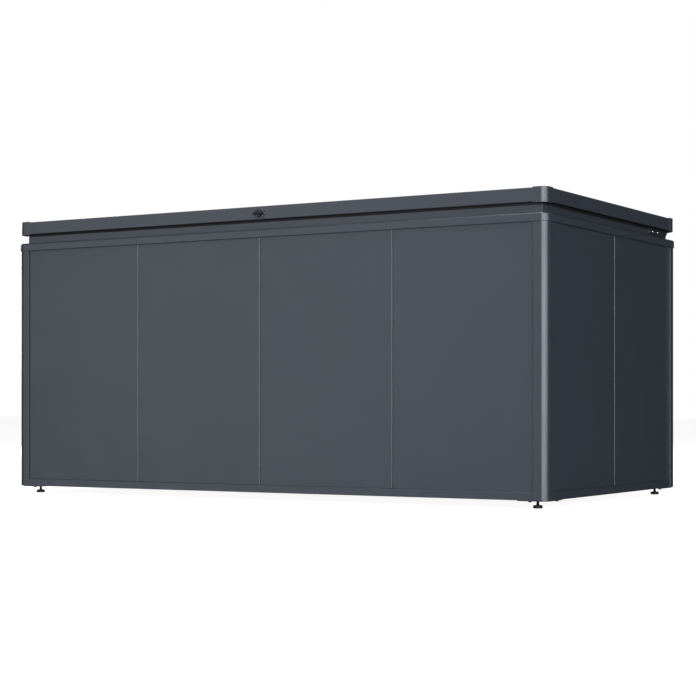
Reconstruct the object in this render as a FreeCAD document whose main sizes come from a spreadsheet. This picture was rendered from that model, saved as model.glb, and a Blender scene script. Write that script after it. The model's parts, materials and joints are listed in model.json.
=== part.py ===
import FreeCAD, Part
import math
import os

import Sketcher

# Garden storage box: corner posts and tray panels under a top frame, a lid on two
# rear pivots with gas springs, a rotary hook lock and four levelling feet.
# Frame: millimetres, +Z up, front towards -Y, origin on the ground under the middle.
# Every size that can be set by itself is written here once.
SIZES = {
    # body
    "body_width": 1800,
    "body_depth": 953,
    "ground_gap": 22,
    "fit_gap": 0.3,
    # corner posts
    "post_height": 732,
    "post_face": 40,
    "post_radius": 20,
    "post_wall": 2,
    # wall panels
    "front_panels": 4,
    "panel_recess": 5,
    "panel_depth": 20,
    "panel_sheet": 1,
    "panel_bend": 2.5,
    "panel_return": 12,
    "panel_tuck": 12,
    "panel_joint": 0.4,
    "panel_overlap": 16,
    # bottom rails and floor
    "rail_height": 22,
    "rail_recess": 2,
    "rail_wall": 2,
    "rail_round": 2,
    "rail_upright": 15,
    "floor_drop": 4,
    "floor_ledge": 12,
    "floor_sheet": 1.2,
    "floor_joint": 1,
    "beam_width": 60,
    "beam_height": 14,
    "beam_wall": 1.5,
    # top frame
    "rim_height": 23,
    "rim_proud": 2.7,
    "rim_chamfer": 4,
    "frame_wall": 2,
    "frame_leg": 20,
    "upstand_inset": 22,
    "upstand_height": 22,
    "seal_recess": 2.5,
    "lip_height": 29,
    "plug_length": 30,
    # seal
    "seal_skin": 2.2,
    "seal_grip": 12,
    "seal_cap": 3,
    "bulb_width": 5,
    "bulb_round": 2,
    # lid
    "lid_inset": 1.5,
    "lid_reveal": 6,
    "skirt_height": 37.5,
    "skirt_wall": 2,
    "skirt_edge": 1,
    "hem_height": 4,
    "lid_rebate": 2,
    "lid_rim": 6,
    "lid_leg": 5,
    "lid_sheet": 1.2,
    "lid_corner_step": 2,
    "lid_corner_proud": 0.5,
    "lid_corner_wall": 3,
    "stiffener_count": 3,
    "stiffener_width": 60,
    "stiffener_crown": 30,
    "stiffener_height": 15,
    "stiffener_sheet": 1.5,
    "stiffener_setback": 62,
    # hinges
    "pivot_inset": 13,
    "pivot_height": 3,
    "eye_radius": 7,
    "pin_diameter": 8,
    "pin_head": 10,
    "pin_head_height": 2.5,
    "running_gap": 0.05,
    "plate_thick": 3,
    "plate_front": 168,
    "plate_rear": 38,
    "plate_lift": 2,
    "plate_height": 27,
    "plate_round": 10,
    "arm_gap": 0.5,
    "arm_length": 155,
    "arm_drop": 18,
    "arm_toe": 8,
    "screw_front": 142,
    "screw_rear": 99,
    "screw_level": 17.5,
    "screw_head": 9,
    "screw_head_height": 2.6,
    "screw_socket": 4,
    "socket_depth": 1.4,
    # gas springs
    "stud_reach": 140,
    "stud_drop": 5,
    "anchor_reach": 60,
    "anchor_drop": 180,
    "spring_inset": 57,
    "eye_width": 10,
    "eye_outer": 8,
    "stud_diameter": 8,
    "stud_head": 10,
    "stud_head_height": 2,
    "neck_diameter": 8,
    "cylinder_start": 14,
    "cylinder_length": 156,
    "cylinder_diameter": 20,
    "rod_diameter": 8,
    "rod_inside": 132,
    "bore_depth": 145,
    "bracket_sheet": 3,
    "lid_bracket_width": 40,
    "lid_bracket_round": 12,
    "anchor_width": 50,
    "anchor_round": 12,
    "stud_gap": 0.4,
    # lock
    "lock_level": 17,
    "escutcheon_width": 40,
    "escutcheon_height": 26,
    "escutcheon_thick": 2.5,
    "barrel_diameter": 12,
    "barrel_length": 4.2,
    "nut_width": 17,
    "nut_thick": 3.5,
    "shaft_diameter": 7,
    "shaft_square": 4.6,
    "knob_diameter": 22,
    "knob_thick": 4,
    "grip_length": 34,
    "grip_width": 8,
    "grip_height": 9,
    "cam_thick": 2.5,
    "cam_width": 10,
    "cam_reach": 18,
    "cam_hook": 4,
    "cam_foot": 10.5,
    "cam_screw": 8,
    "cam_screw_height": 2,
    "striker_sheet": 2,
    "striker_side": 6.5,
    "striker_tab": 16,
    "striker_width": 30,
    "striker_height": 16,
    "striker_reach": 9,
    "striker_gap": 1,
    # levelling feet
    "foot_inset": 48,
    "disc_diameter": 25,
    "disc_height": 8,
    "stem_diameter": 8,
    "stem_above": 10,
    "foot_plate_x": 88,
    "foot_plate_y": 105,
    "foot_plate_thick": 2,
    "foot_plate_cut": 14,
    "foot_nut": 13,
    "foot_nut_height": 6.5,
    "foot_screw_inset": 14,
    "foot_screw_x": 55,
    "foot_screw_y": 94,
    "foot_screw_head": 8,
    "foot_screw_height": 3,
}

SHEET_NAME = "Dimensions"
HALF_TURN = 180
QUARTER = 90
HEX_SIDES = 6
DISC_SIDES = 24
NUT_TURN = 30
# How much shorter a bevelled fold is inside, so that the sheet keeps its thickness
EVEN_FOLD = 2 - math.sqrt(2)
NEAR = 1e-4


class Size:
    """A number together with the sheet expression that it comes from."""

    def __init__(self, number, text):
        self.number = number
        self.text = text

    def __add__(self, other):
        other = as_size(other)
        return Size(self.number + other.number, f"({self.text} + {other.text})")

    def __sub__(self, other):
        other = as_size(other)
        return Size(self.number - other.number, f"({self.text} - {other.text})")

    def __mul__(self, other):
        other = as_size(other)
        return Size(self.number * other.number, f"({self.text} * {other.text})")

    def __truediv__(self, other):
        other = as_size(other)
        return Size(self.number / other.number, f"({self.text} / {other.text})")

    def __neg__(self):
        return Size(-self.number, f"(-1 * {self.text})")

    def __radd__(self, other):
        return as_size(other) + self

    def __rsub__(self, other):
        return as_size(other) - self

    def __rmul__(self, other):
        return as_size(other) * self


def as_size(value):
    """Take a plain number as a size that depends on no cell."""
    if isinstance(value, Size):
        return value
    return Size(value, repr(value))


def root(value):
    """Square root of a size."""
    return Size(math.sqrt(value.number), f"sqrt({value.text})")


class Cells:
    """The spreadsheet's cells, each reached by its alias."""

    def __init__(self, sheet):
        for row, (alias, number) in enumerate(SIZES.items(), start=1):
            sheet.set(f"A{row}", alias)
            sheet.set(f"B{row}", str(number))
            sheet.setAlias(f"B{row}", alias)
            setattr(self, alias, Size(float(number), f"{SHEET_NAME}.{alias}"))


doc = FreeCAD.newDocument("garden_storage_box")
sheet = doc.addObject("Spreadsheet::Sheet", SHEET_NAME)
s = Cells(sheet)
doc.recompute()

NODES = []

# Levels, measured up from the underside of the body
RIM_TOP = s.post_height + s.rim_height
STEP_LEVEL = RIM_TOP + s.upstand_height
LIP_TOP = STEP_LEVEL + s.lip_height
LID_LOW = STEP_LEVEL + s.lid_reveal
PIVOT_LEVEL = LID_LOW + s.pivot_height
FLANGE_UNDER = LID_LOW + s.skirt_height - s.lid_rebate - s.skirt_wall
FLOOR_LEVEL = s.rail_height - s.floor_drop

# Insets, measured inwards from the outer faces of the posts
CORE = s.panel_recess + s.panel_depth + s.fit_gap + s.post_wall
LIP_OUTER = s.upstand_inset + s.seal_recess
LIP_INNER = LIP_OUTER + s.frame_wall
LID_CORNER = s.post_face
HALF_WIDTH = s.body_width / 2
HALF_DEPTH = s.body_depth / 2
MODULE = (s.body_width - 2 * (s.post_face - s.panel_tuck)) / s.front_panels


# Building blocks

def bind(thing, path, size):
    """Tie one property to a size's expression."""
    thing.setExpression(path, as_size(size).text)


def new_body(label):
    body = doc.addObject("PartDesign::Body", label)
    body.Label = label
    return body


def new_sketch(body, role, height=0):
    """A sketch on one of the body's own origin planes, raised along the normal."""
    sketch = body.newObject("Sketcher::SketchObject", body.Name + "_sketch")
    plane = next(item for item in body.Origin.OriginFeatures if item.Role == role)
    sketch.AttachmentSupport = [(plane, "")]
    sketch.MapMode = "FlatFace"
    bind(sketch, ".AttachmentOffset.Base.z", height)
    return sketch


def pin_point(sketch, shape, end, x, y):
    """Fix a point of the sketch at two sizes from the sketch's origin."""
    for kind, size in (("DistanceX", x), ("DistanceY", y)):
        constraint = Sketcher.Constraint(kind, -1, 1, shape, end, size.number)
        index = sketch.addConstraint(constraint)
        sketch.setExpression(f"Constraints[{index}]", size.text)


def add_arc(sketch, first, last, centre):
    """Quarter or half round from first to last; gives the shape and its two ends."""
    cx, cy = (value.number for value in centre)
    angle_1 = math.atan2(first[1].number - cy, first[0].number - cx)
    angle_2 = math.atan2(last[1].number - cy, last[0].number - cx)
    radius = math.hypot(first[0].number - cx, first[1].number - cy)
    turn = (angle_2 - angle_1) % (2 * math.pi)
    forward = turn <= math.pi + 1e-6
    if not forward:
        angle_1, angle_2 = angle_2, angle_1
    if angle_2 < angle_1:
        angle_2 += 2 * math.pi
    circle = Part.Circle(FreeCAD.Vector(cx, cy, 0), FreeCAD.Vector(0, 0, 1), radius)
    shape = sketch.addGeometry(Part.ArcOfCircle(circle, angle_1, angle_2), False)
    chord_x = abs(last[0].number - first[0].number)
    chord_y = abs(last[1].number - first[1].number)
    kind, size = ("DistanceX", centre[0]) if chord_y >= chord_x else ("DistanceY", centre[1])
    index = sketch.addConstraint(Sketcher.Constraint(kind, -1, 1, shape, 3, size.number))
    sketch.setExpression(f"Constraints[{index}]", size.text)
    return shape, (1 if forward else 2), (2 if forward else 1)


def outline(sketch, points):
    """Closed outline; a third entry in a point is the centre of the arc that leaves it."""
    corners = [tuple(as_size(value) for value in point[:2]) for point in points]
    edges = []
    for index, point in enumerate(points):
        first = corners[index]
        last = corners[(index + 1) % len(points)]
        if len(point) == 3:
            centre = tuple(as_size(value) for value in point[2])
            edges.append(add_arc(sketch, first, last, centre))
            continue
        line = Part.LineSegment(
            FreeCAD.Vector(first[0].number, first[1].number, 0),
            FreeCAD.Vector(last[0].number, last[1].number, 0),
        )
        edges.append((sketch.addGeometry(line, False), 1, 2))
    for index, (shape, start, _) in enumerate(edges):
        before, _, end = edges[index - 1]
        sketch.addConstraint(Sketcher.Constraint("Coincident", before, end, shape, start))
        pin_point(sketch, shape, start, *corners[index])


def rectangle(sketch, low_x, high_x, low_y, high_y):
    outline(sketch, [(low_x, low_y), (high_x, low_y), (high_x, high_y), (low_x, high_y)])


def circle(sketch, x, y, diameter):
    x, y, diameter = as_size(x), as_size(y), as_size(diameter)
    centre = FreeCAD.Vector(x.number, y.number, 0)
    round_shape = Part.Circle(centre, FreeCAD.Vector(0, 0, 1), diameter.number / 2)
    shape = sketch.addGeometry(round_shape, False)
    pin_point(sketch, shape, 3, x, y)
    index = sketch.addConstraint(Sketcher.Constraint("Diameter", shape, diameter.number))
    sketch.setExpression(f"Constraints[{index}]", diameter.text)


def polygon(sketch, x, y, radius, sides, start=0):
    """Even-sided outline by the radius of its corners."""
    corners = []
    for side in range(sides):
        angle = math.radians(360 / sides * side + start)
        corners.append((x + radius * round(math.cos(angle), 6), y + radius * round(math.sin(angle), 6)))
    outline(sketch, corners)


def hexagon(sketch, x, y, across):
    """Six-sided outline with flats left and right, by its width across the flats."""
    polygon(sketch, x, y, across / math.sqrt(3), HEX_SIDES, 30)


def stadium(sketch, length, width):
    """Slot outline with round ends, centred on the sketch's origin."""
    end = (length - width) / 2
    half = width / 2
    outline(sketch, [
        (-end, -half), (end, -half, (end, 0)), (end + half, 0, (end, 0)), (end, half),
        (-end, half, (-end, 0)), (-end - half, 0, (-end, 0)),
    ])


def pad(body, sketch, length, side="One side", reverse=False):
    feature = body.newObject("PartDesign::Pad", body.Name + "_pad")
    feature.Profile = sketch
    feature.SideType = side
    feature.Reversed = reverse
    bind(feature, "Length", length)
    return feature


def pocket(body, sketch, length, side="One side", reverse=False):
    """Cut the sketch out of the body and check that it took something away."""
    doc.recompute()
    before = body.Shape.Volume
    feature = body.newObject("PartDesign::Pocket", body.Name + "_pocket")
    feature.Profile = sketch
    feature.SideType = side
    feature.Reversed = reverse
    bind(feature, "Length", length)
    doc.recompute()
    if not body.Shape.Volume < before:
        raise RuntimeError(f"a pocket of {body.Label} cuts nothing")
    return feature


def revolve(body, sketch):
    feature = body.newObject("PartDesign::Revolution", body.Name + "_revolution")
    feature.Profile = sketch
    feature.ReferenceAxis = (sketch, ["V_Axis"])
    feature.Angle = 360
    return feature


def dress(body, kind, size, chosen):
    """Round or bevel the edges of the body that the test picks out."""
    doc.recompute()
    base = body.Tip
    names = [
        f"Edge{index}" for index, edge in enumerate(base.Shape.Edges, start=1) if chosen(edge)
    ]
    if not names:
        raise RuntimeError(f"no edge of {body.Label} to finish")
    feature = body.newObject("PartDesign::" + kind, body.Name + "_" + kind.lower())
    feature.Base = (base, names)
    bind(feature, "Radius" if kind == "Fillet" else "Size", size)
    return feature


def flat_at(edge, level, axis="z"):
    """Whether an edge lies wholly in the plane at this level."""
    return all(abs(getattr(vertex.Point, axis) - level) < NEAR for vertex in edge.Vertexes)


def place(thing, x=0, y=0, z=0, turn=0, axis=(0, 0, 1)):
    """Set where a body stands; the turn is in degrees about the axis."""
    angle = as_size(turn)
    rotation = FreeCAD.Rotation(FreeCAD.Vector(*axis), angle.number)
    thing.Placement = FreeCAD.Placement(FreeCAD.Vector(0, 0, 0), rotation)
    for name, size in (("x", x), ("y", y), ("z", z)):
        bind(thing, ".Placement.Base." + name, size)


def keep(*things):
    """List finished pieces as nodes of their own."""
    NODES.extend(things)


def group(label, bodies):
    """One node for identical pieces that stay separate solids."""
    for index, body in enumerate(bodies, start=1):
        body.Label = f"{label}_piece_{index}"
    compound = doc.addObject("Part::Compound", label)
    compound.Label = label
    compound.Links = bodies
    keep(compound)


def corner_places(inset=0):
    """Name, place and turn of the four corners, for pieces drawn at the front left."""
    x = HALF_WIDTH - inset
    y = HALF_DEPTH - inset
    return [
        ("front_left", -x, -y, 0), ("front_right", x, -y, QUARTER),
        ("rear_right", x, y, 2 * QUARTER), ("rear_left", -x, y, 3 * QUARTER),
    ]


def side_places(inset=0):
    """Name, place, turn and full length of the four sides, for pieces drawn at the front."""
    x = HALF_WIDTH - inset
    y = HALF_DEPTH - inset
    return [
        ("front", 0, -y, 0, s.body_width), ("right", x, 0, QUARTER, s.body_depth),
        ("rear", 0, y, 2 * QUARTER, s.body_width), ("left", -x, 0, 3 * QUARTER, s.body_depth),
    ]


# Corner posts: a hollow core with a channel on each leg that takes the panels' edges

def corner_post(name, x, y, turn):
    body = new_body("post_" + name)
    wall = s.post_wall
    leg = s.post_face
    radius = s.post_radius
    lip = s.panel_recess - s.fit_gap
    sketch = new_sketch(body, "XY_Plane")
    outline(sketch, [
        (radius, 0), (leg, 0), (leg, lip), (leg - wall, lip), (leg - wall, wall),
        (CORE, wall), (CORE, CORE - wall), (leg, CORE - wall), (leg, CORE), (CORE, CORE),
        (CORE, leg), (CORE - wall, leg), (CORE - wall, CORE), (wall, CORE),
        (wall, leg - wall), (lip, leg - wall), (lip, leg), (0, leg),
        (0, radius, (radius, radius)),
    ])
    outline(sketch, [
        (radius, wall), (CORE - wall, wall), (CORE - wall, CORE - wall), (wall, CORE - wall),
        (wall, radius, (radius, radius)),
    ])
    pad(body, sketch, s.post_height)
    place(body, x, y, s.ground_gap, turn)
    keep(body)


# Bottom rails: a closed tube with an upright that holds the panels and a floor ledge

def bottom_rail(name, x, y, turn, length):
    body = new_body("bottom_rail_" + name)
    wall = s.rail_wall
    face = s.rail_recess
    high = s.rail_height
    bend = s.rail_round
    sketch = new_sketch(body, "YZ_Plane")
    outline(sketch, [
        (face, 0), (CORE, 0), (CORE, FLOOR_LEVEL - wall),
        (CORE + s.floor_ledge, FLOOR_LEVEL - wall), (CORE + s.floor_ledge, FLOOR_LEVEL),
        (CORE, FLOOR_LEVEL), (CORE, high + s.rail_upright), (CORE - wall, high + s.rail_upright),
        (CORE - wall, high), (face + bend, high, (face + bend, high - bend)), (face, high - bend),
    ])
    rectangle(sketch, face + wall, CORE - wall, wall, high - wall)
    pad(body, sketch, length - 2 * s.post_face, "Symmetric")
    place(body, x, y, s.ground_gap, turn)
    keep(body)


# Wall panels: folded trays, open on the inside, with returned edges

def wall_panel(label, width, x, y, turn):
    body = new_body(label)
    half = (width - s.panel_joint) / 2
    bend = s.panel_bend
    skin = s.panel_sheet
    deep = s.panel_depth
    back = half - s.panel_return
    low = s.rail_height + s.fit_gap
    high = s.post_height + s.panel_overlap
    sketch = new_sketch(body, "XY_Plane", low)
    fold = bend - skin * EVEN_FOLD
    outline(sketch, [
        (bend - half, 0), (half - bend, 0), (half, bend), (half, deep),
        (back, deep), (back, deep - skin), (half - skin, deep - skin),
        (half - skin, skin + fold), (half - skin - fold, skin),
        (skin + fold - half, skin), (skin - half, skin + fold),
        (skin - half, deep - skin), (-back, deep - skin), (-back, deep), (-half, deep),
        (-half, bend),
    ])
    pad(body, sketch, high - low)
    for level in (low, high - skin):
        end = new_sketch(body, "XY_Plane", level)
        rectangle(end, -half + skin, half - skin, skin, deep)
        pad(body, end, skin)
    place(body, x, y, s.ground_gap, turn)
    keep(body)


def long_wall(name, side, turn):
    """The equal panels of the front or rear wall."""
    y = side * (HALF_DEPTH - s.panel_recess)
    count = int(s.front_panels.number)
    for index in range(count):
        x = MODULE * (index + 0.5 - count / 2)
        wall_panel(f"{name}_panel_{index + 1}", MODULE, x, y, turn)


def short_wall(name, side, turn):
    """Two equal panels that meet in the middle of the wall."""
    x = side * (HALF_WIDTH - s.panel_recess)
    width = s.body_depth / 2 - s.post_face + s.panel_tuck
    wall_panel(f"{name}_panel_front", width, x, -width / 2, turn)
    wall_panel(f"{name}_panel_rear", width, x, width / 2, turn)


# Floor: two sheets on the rails' ledges and on beams under them

def floor_sheets():
    length = HALF_WIDTH - CORE - s.fit_gap - s.floor_joint / 2
    half_depth = HALF_DEPTH - CORE - s.fit_gap
    for name, side in (("left", -1), ("right", 1)):
        body = new_body("floor_sheet_" + name)
        sketch = new_sketch(body, "XY_Plane", FLOOR_LEVEL)
        rectangle(sketch, -length / 2, length / 2, -half_depth, half_depth)
        pad(body, sketch, s.floor_sheet)
        place(body, side * (length + s.floor_joint) / 2, 0, s.ground_gap)
        keep(body)


def floor_beam(index, count):
    """A top-hat beam across the floor, between the ledges."""
    body = new_body("floor_beam_" + str(index))
    half = s.beam_width / 2
    wall = s.beam_wall
    low = FLOOR_LEVEL - s.beam_height
    crown = s.beam_width / 4
    reach = HALF_DEPTH - CORE - s.floor_ledge - s.fit_gap
    sketch = new_sketch(body, "XZ_Plane")
    outline(sketch, [
        (-half, low), (-crown, low), (-crown, FLOOR_LEVEL - wall), (crown, FLOOR_LEVEL - wall),
        (crown, low), (half, low), (half, low + wall), (crown + wall, low + wall),
        (crown + wall, FLOOR_LEVEL), (-crown - wall, FLOOR_LEVEL), (-crown - wall, low + wall),
        (-half, low + wall),
    ])
    pad(body, sketch, 2 * reach, "Symmetric")
    place(body, MODULE * (index - (count + 1) / 2), 0, s.ground_gap)
    return body


# Top frame: proud rim, ledge and set-back upstand in one extrusion, mitred by corner castings

def top_rail(name, x, y, turn, length):
    body = new_body("top_rail_" + name)
    wall = s.frame_wall
    low = s.post_height
    face = s.upstand_inset
    drip = s.panel_recess - s.fit_gap
    sketch = new_sketch(body, "YZ_Plane")
    outline(sketch, [
        (-s.rim_proud, low), (drip, low), (drip, low + wall), (0, low + wall),
        (0, RIM_TOP - wall), (CORE - wall, RIM_TOP - wall), (CORE - wall, RIM_TOP - s.frame_leg),
        (CORE, RIM_TOP - s.frame_leg), (CORE, RIM_TOP), (face + wall, RIM_TOP),
        (face + wall, STEP_LEVEL - wall), (LIP_INNER, STEP_LEVEL - wall), (LIP_INNER, LIP_TOP),
        (LIP_OUTER, LIP_TOP), (LIP_OUTER, STEP_LEVEL), (face, STEP_LEVEL), (face, RIM_TOP),
        (s.rim_chamfer - s.rim_proud, RIM_TOP), (-s.rim_proud, RIM_TOP - s.rim_chamfer),
    ])
    pad(body, sketch, length - 2 * s.post_face, "Symmetric")
    place(body, x, y, s.ground_gap, turn)
    keep(body)


def angle_plan(sketch, leg, outer, inner):
    """L-shaped plan between two insets, with square corners."""
    outline(sketch, [(outer, outer), (leg, outer), (leg, inner), (inner, inner), (inner, leg), (outer, leg)])


def rounded_angle_plan(sketch, leg, outer, inner, radius):
    """L-shaped plan whose outer corner is rounded about the posts' own centre."""
    outline(sketch, [
        (radius, outer), (leg, outer), (leg, inner), (inner, inner), (inner, leg), (outer, leg),
        (outer, radius, (radius, radius)),
    ])


def bent_plan(sketch, leg, outer, inner, radius):
    """Angle of even thickness whose corner is rounded inside and outside."""
    centre = (radius, radius)
    outline(sketch, [
        (radius, outer), (leg, outer), (leg, inner), (radius, inner, centre), (inner, radius),
        (inner, leg), (outer, leg), (outer, radius, centre),
    ])


def outer_edge(edge, level, outside, leg):
    """Whether an edge of a corner piece runs along its outer face at this level."""
    box = edge.BoundBox
    ends = flat_at(edge, leg, "x") or flat_at(edge, leg, "y")
    return flat_at(edge, level) and not ends and min(box.XMin, box.YMin) < outside + NEAR


def top_corner(index, x, y, turn):
    """Casting that joins two top rails and plugs into the post's core."""
    body = new_body("top_frame_corner_" + str(index))
    leg = s.post_face
    wall = s.frame_wall
    low = s.post_height
    radius = s.post_radius
    block = new_sketch(body, "XY_Plane", low)
    rounded_angle_plan(block, leg, -s.rim_proud, CORE, radius)
    pad(body, block, s.rim_height)
    hollow = new_sketch(body, "XY_Plane", low)
    rounded_angle_plan(hollow, leg, as_size(0), CORE - wall, radius)
    pocket(body, hollow, s.rim_height - wall, reverse=True)
    upstand = new_sketch(body, "XY_Plane", RIM_TOP)
    angle_plan(upstand, leg, s.upstand_inset, s.upstand_inset + wall)
    pad(body, upstand, s.upstand_height)
    step = new_sketch(body, "XY_Plane", STEP_LEVEL - wall)
    angle_plan(step, leg, s.upstand_inset, LIP_INNER)
    pad(body, step, wall)
    lip = new_sketch(body, "XY_Plane", STEP_LEVEL)
    angle_plan(lip, leg, LIP_OUTER, LIP_INNER)
    pad(body, lip, s.lip_height)
    plug = new_sketch(body, "XY_Plane", low - s.plug_length)
    near = s.post_wall + s.fit_gap
    far = CORE - s.post_wall - s.fit_gap
    outline(plug, [(radius, near), (far, near), (far, far), (near, far), (near, radius, (radius, radius))])
    pad(body, plug, s.plug_length + s.rim_height - wall)
    proud = -s.rim_proud.number
    high = RIM_TOP.number
    dress(body, "Chamfer", s.rim_chamfer, lambda edge: outer_edge(edge, high, proud, leg.number))
    place(body, x, y, s.ground_gap, turn)
    return body


# Seal: a clip-on rubber profile round the upstand's lip, with a bulb under the lid

def ring(sketch, outer, inner):
    """Rectangular ring between two insets from the posts' faces."""
    for inset in (outer, inner):
        rectangle(sketch, inset - HALF_WIDTH, HALF_WIDTH - inset, inset - HALF_DEPTH, HALF_DEPTH - inset)


def lid_seal():
    body = new_body("lid_seal")
    outer = LIP_OUTER - s.seal_skin
    inner = LIP_INNER + s.seal_skin
    cap_top = LIP_TOP + s.seal_cap
    bulb_inset = (outer + inner - s.bulb_width) / 2
    parts = (
        (STEP_LEVEL + s.fit_gap, LIP_TOP, outer, LIP_OUTER),
        (LIP_TOP - s.seal_grip, LIP_TOP, LIP_INNER, inner),
        (LIP_TOP, cap_top, outer, inner),
        (cap_top, FLANGE_UNDER - s.fit_gap, bulb_inset, bulb_inset + s.bulb_width),
    )
    for low, high, outside, inside in parts:
        sketch = new_sketch(body, "XY_Plane", low)
        ring(sketch, outside, inside)
        pad(body, sketch, high - low)
    top = (FLANGE_UNDER - s.fit_gap).number
    dress(body, "Fillet", s.bulb_round, lambda edge: flat_at(edge, top))
    window = new_sketch(body, "XZ_Plane", HALF_DEPTH - LIP_OUTER)
    low = STRIKER_LEVEL - s.fit_gap
    rectangle(
        window, s.striker_side - s.fit_gap, s.striker_side + s.striker_width + s.fit_gap,
        low, STRIKER_LEVEL + s.striker_height + s.fit_gap,
    )
    pocket(body, window, 2 * s.seal_skin, reverse=True)
    place(body, 0, 0, s.ground_gap)
    keep(body)


# Lid: skirt rails with a rebate for the top sheet, corner castings that stand a little higher

def lid_rail(name, x, y, turn, length):
    body = new_body("lid_rail_" + name)
    wall = s.skirt_wall
    high = s.skirt_height
    sheet_seat = high - s.lid_rebate
    flange = sheet_seat - wall
    reach = LID_CORNER
    edge = s.skirt_edge
    sketch = new_sketch(body, "YZ_Plane")
    outline(sketch, [
        (edge, 0), (2 * wall, 0), (2 * wall, s.hem_height), (wall, s.hem_height), (wall, flange),
        (reach - wall, flange), (reach - wall, flange - s.lid_leg), (reach, flange - s.lid_leg),
        (reach, sheet_seat), (s.lid_rim, sheet_seat), (s.lid_rim, high),
        (edge, high, (edge, high - edge)), (0, high - edge), (0, edge),
    ])
    pad(body, sketch, length - 2 * s.lid_inset - 2 * LID_CORNER, "Symmetric")
    if name == "front":
        bore = new_sketch(body, "XZ_Plane")
        circle(bore, 0, s.lock_level, s.barrel_diameter + 2 * s.fit_gap)
        pocket(body, bore, 3 * wall, "Symmetric")
    place(body, x, y, s.ground_gap + LID_LOW, turn)
    keep(body)


def lid_corner(index, x, y, turn):
    body = new_body("lid_corner_" + str(index))
    leg = LID_CORNER
    out = -s.lid_corner_proud
    radius = s.post_radius
    step = s.lid_corner_step
    seat = s.skirt_height - s.lid_rebate
    skirt = new_sketch(body, "XY_Plane", -step)
    bent_plan(skirt, leg, out, s.lid_corner_wall, radius)
    pad(body, skirt, s.skirt_height + 2 * step)
    rim = new_sketch(body, "XY_Plane", seat - s.skirt_wall)
    bent_plan(rim, leg, out, s.lid_rim, radius)
    pad(body, rim, s.skirt_wall + s.lid_rebate + step)
    plate = new_sketch(body, "XY_Plane", seat - s.skirt_wall)
    outline(plate, [(radius, 0), (leg, 0), (leg, leg), (0, leg), (0, radius, (radius, radius))])
    pad(body, plate, s.skirt_wall)
    place(body, x, y, s.ground_gap + LID_LOW, turn)
    return body


def lid_sheet():
    body = new_body("lid_top")
    inset = s.lid_inset + s.lid_rim + s.fit_gap
    seat = s.skirt_height - s.lid_rebate
    far_x = HALF_WIDTH - inset
    far_y = HALF_DEPTH - inset
    end_x = HALF_WIDTH - s.lid_inset - s.post_radius
    end_y = HALF_DEPTH - s.lid_inset - s.post_radius
    sketch = new_sketch(body, "XY_Plane", seat)
    outline(sketch, [
        (-end_x, -far_y), (end_x, -far_y, (end_x, -end_y)), (far_x, -end_y),
        (far_x, end_y, (end_x, end_y)), (end_x, far_y), (-end_x, far_y, (-end_x, end_y)),
        (-far_x, end_y), (-far_x, -end_y, (-end_x, -end_y)),
    ])
    pad(body, sketch, s.lid_sheet)
    place(body, 0, 0, s.ground_gap + LID_LOW)
    keep(body)


def lid_stiffener(index, count):
    """A top-hat profile under the lid's sheet, set back so that it clears the seal."""
    body = new_body("lid_stiffener_" + str(index))
    skin = s.stiffener_sheet
    seat = s.skirt_height - s.lid_rebate
    low = seat - s.stiffener_height
    half = s.stiffener_width / 2
    crown = s.stiffener_crown / 2
    sketch = new_sketch(body, "XZ_Plane")
    outline(sketch, [
        (-half, seat - skin), (-crown, seat - skin), (-crown, low), (crown, low),
        (crown, seat - skin), (half, seat - skin), (half, seat), (crown - skin, seat),
        (crown - skin, low + skin), (skin - crown, low + skin), (skin - crown, seat), (-half, seat),
    ])
    pad(body, sketch, s.body_depth - 2 * s.stiffener_setback, "Symmetric")
    place(body, MODULE * (index - (count + 1) / 2), 0, s.ground_gap + LID_LOW)
    return body


# Hinges: a plate on each side of the upstand, an arm in the lid and a pin through both

def hinge_y(distance):
    """Place along Y of a point this far in front of the rear faces."""
    return HALF_DEPTH - distance


PIN_HOLE = s.pin_diameter + 2 * s.running_gap
PLATE_OUTER = HALF_WIDTH - s.upstand_inset + s.plate_thick
ARM_INNER = PLATE_OUTER + s.arm_gap
LID_SIDE_INNER = HALF_WIDTH - s.lid_inset - s.skirt_wall


def hinge_plate(name, side):
    """Drawn for the right; side mirrors it by where it starts."""
    body = new_body("hinge_plate_" + name)
    start = HALF_WIDTH - s.upstand_inset if side > 0 else -PLATE_OUTER
    low = RIM_TOP + s.plate_lift
    front = hinge_y(s.plate_front)
    rear = hinge_y(s.plate_rear)
    pivot = hinge_y(s.pivot_inset)
    eye = s.eye_radius
    bend = s.plate_round
    sketch = new_sketch(body, "YZ_Plane", start)
    outline(sketch, [
        (front + bend, low), (rear, low), (pivot, PIVOT_LEVEL - eye + s.plate_lift),
        (pivot, PIVOT_LEVEL + eye - s.plate_lift), (front, low + s.plate_height),
        (front, low + bend, (front + bend, low + bend)),
    ])
    pad(body, sketch, s.plate_thick)
    eye_sketch = new_sketch(body, "YZ_Plane", start)
    circle(eye_sketch, pivot, PIVOT_LEVEL, 2 * eye)
    pad(body, eye_sketch, s.plate_thick)
    hole = new_sketch(body, "YZ_Plane", start)
    circle(hole, pivot, PIVOT_LEVEL, PIN_HOLE)
    pocket(body, hole, s.plate_thick, reverse=True)
    place(body, 0, 0, s.ground_gap)
    keep(body)


def hinge_screw(index, side, distance):
    """Pan head with a hexagon socket, seated on the plate."""
    body = new_body("hinge_screw_" + str(index))
    head = new_sketch(body, "YZ_Plane")
    circle(head, 0, 0, s.screw_head)
    pad(body, head, s.screw_head_height)
    socket = new_sketch(body, "YZ_Plane", s.screw_head_height)
    hexagon(socket, as_size(0), as_size(0), s.screw_socket)
    pocket(body, socket, s.socket_depth)
    turn = 0 if side > 0 else HALF_TURN
    place(body, side * PLATE_OUTER, hinge_y(distance), s.ground_gap + RIM_TOP + s.screw_level, turn)
    return body


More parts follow.
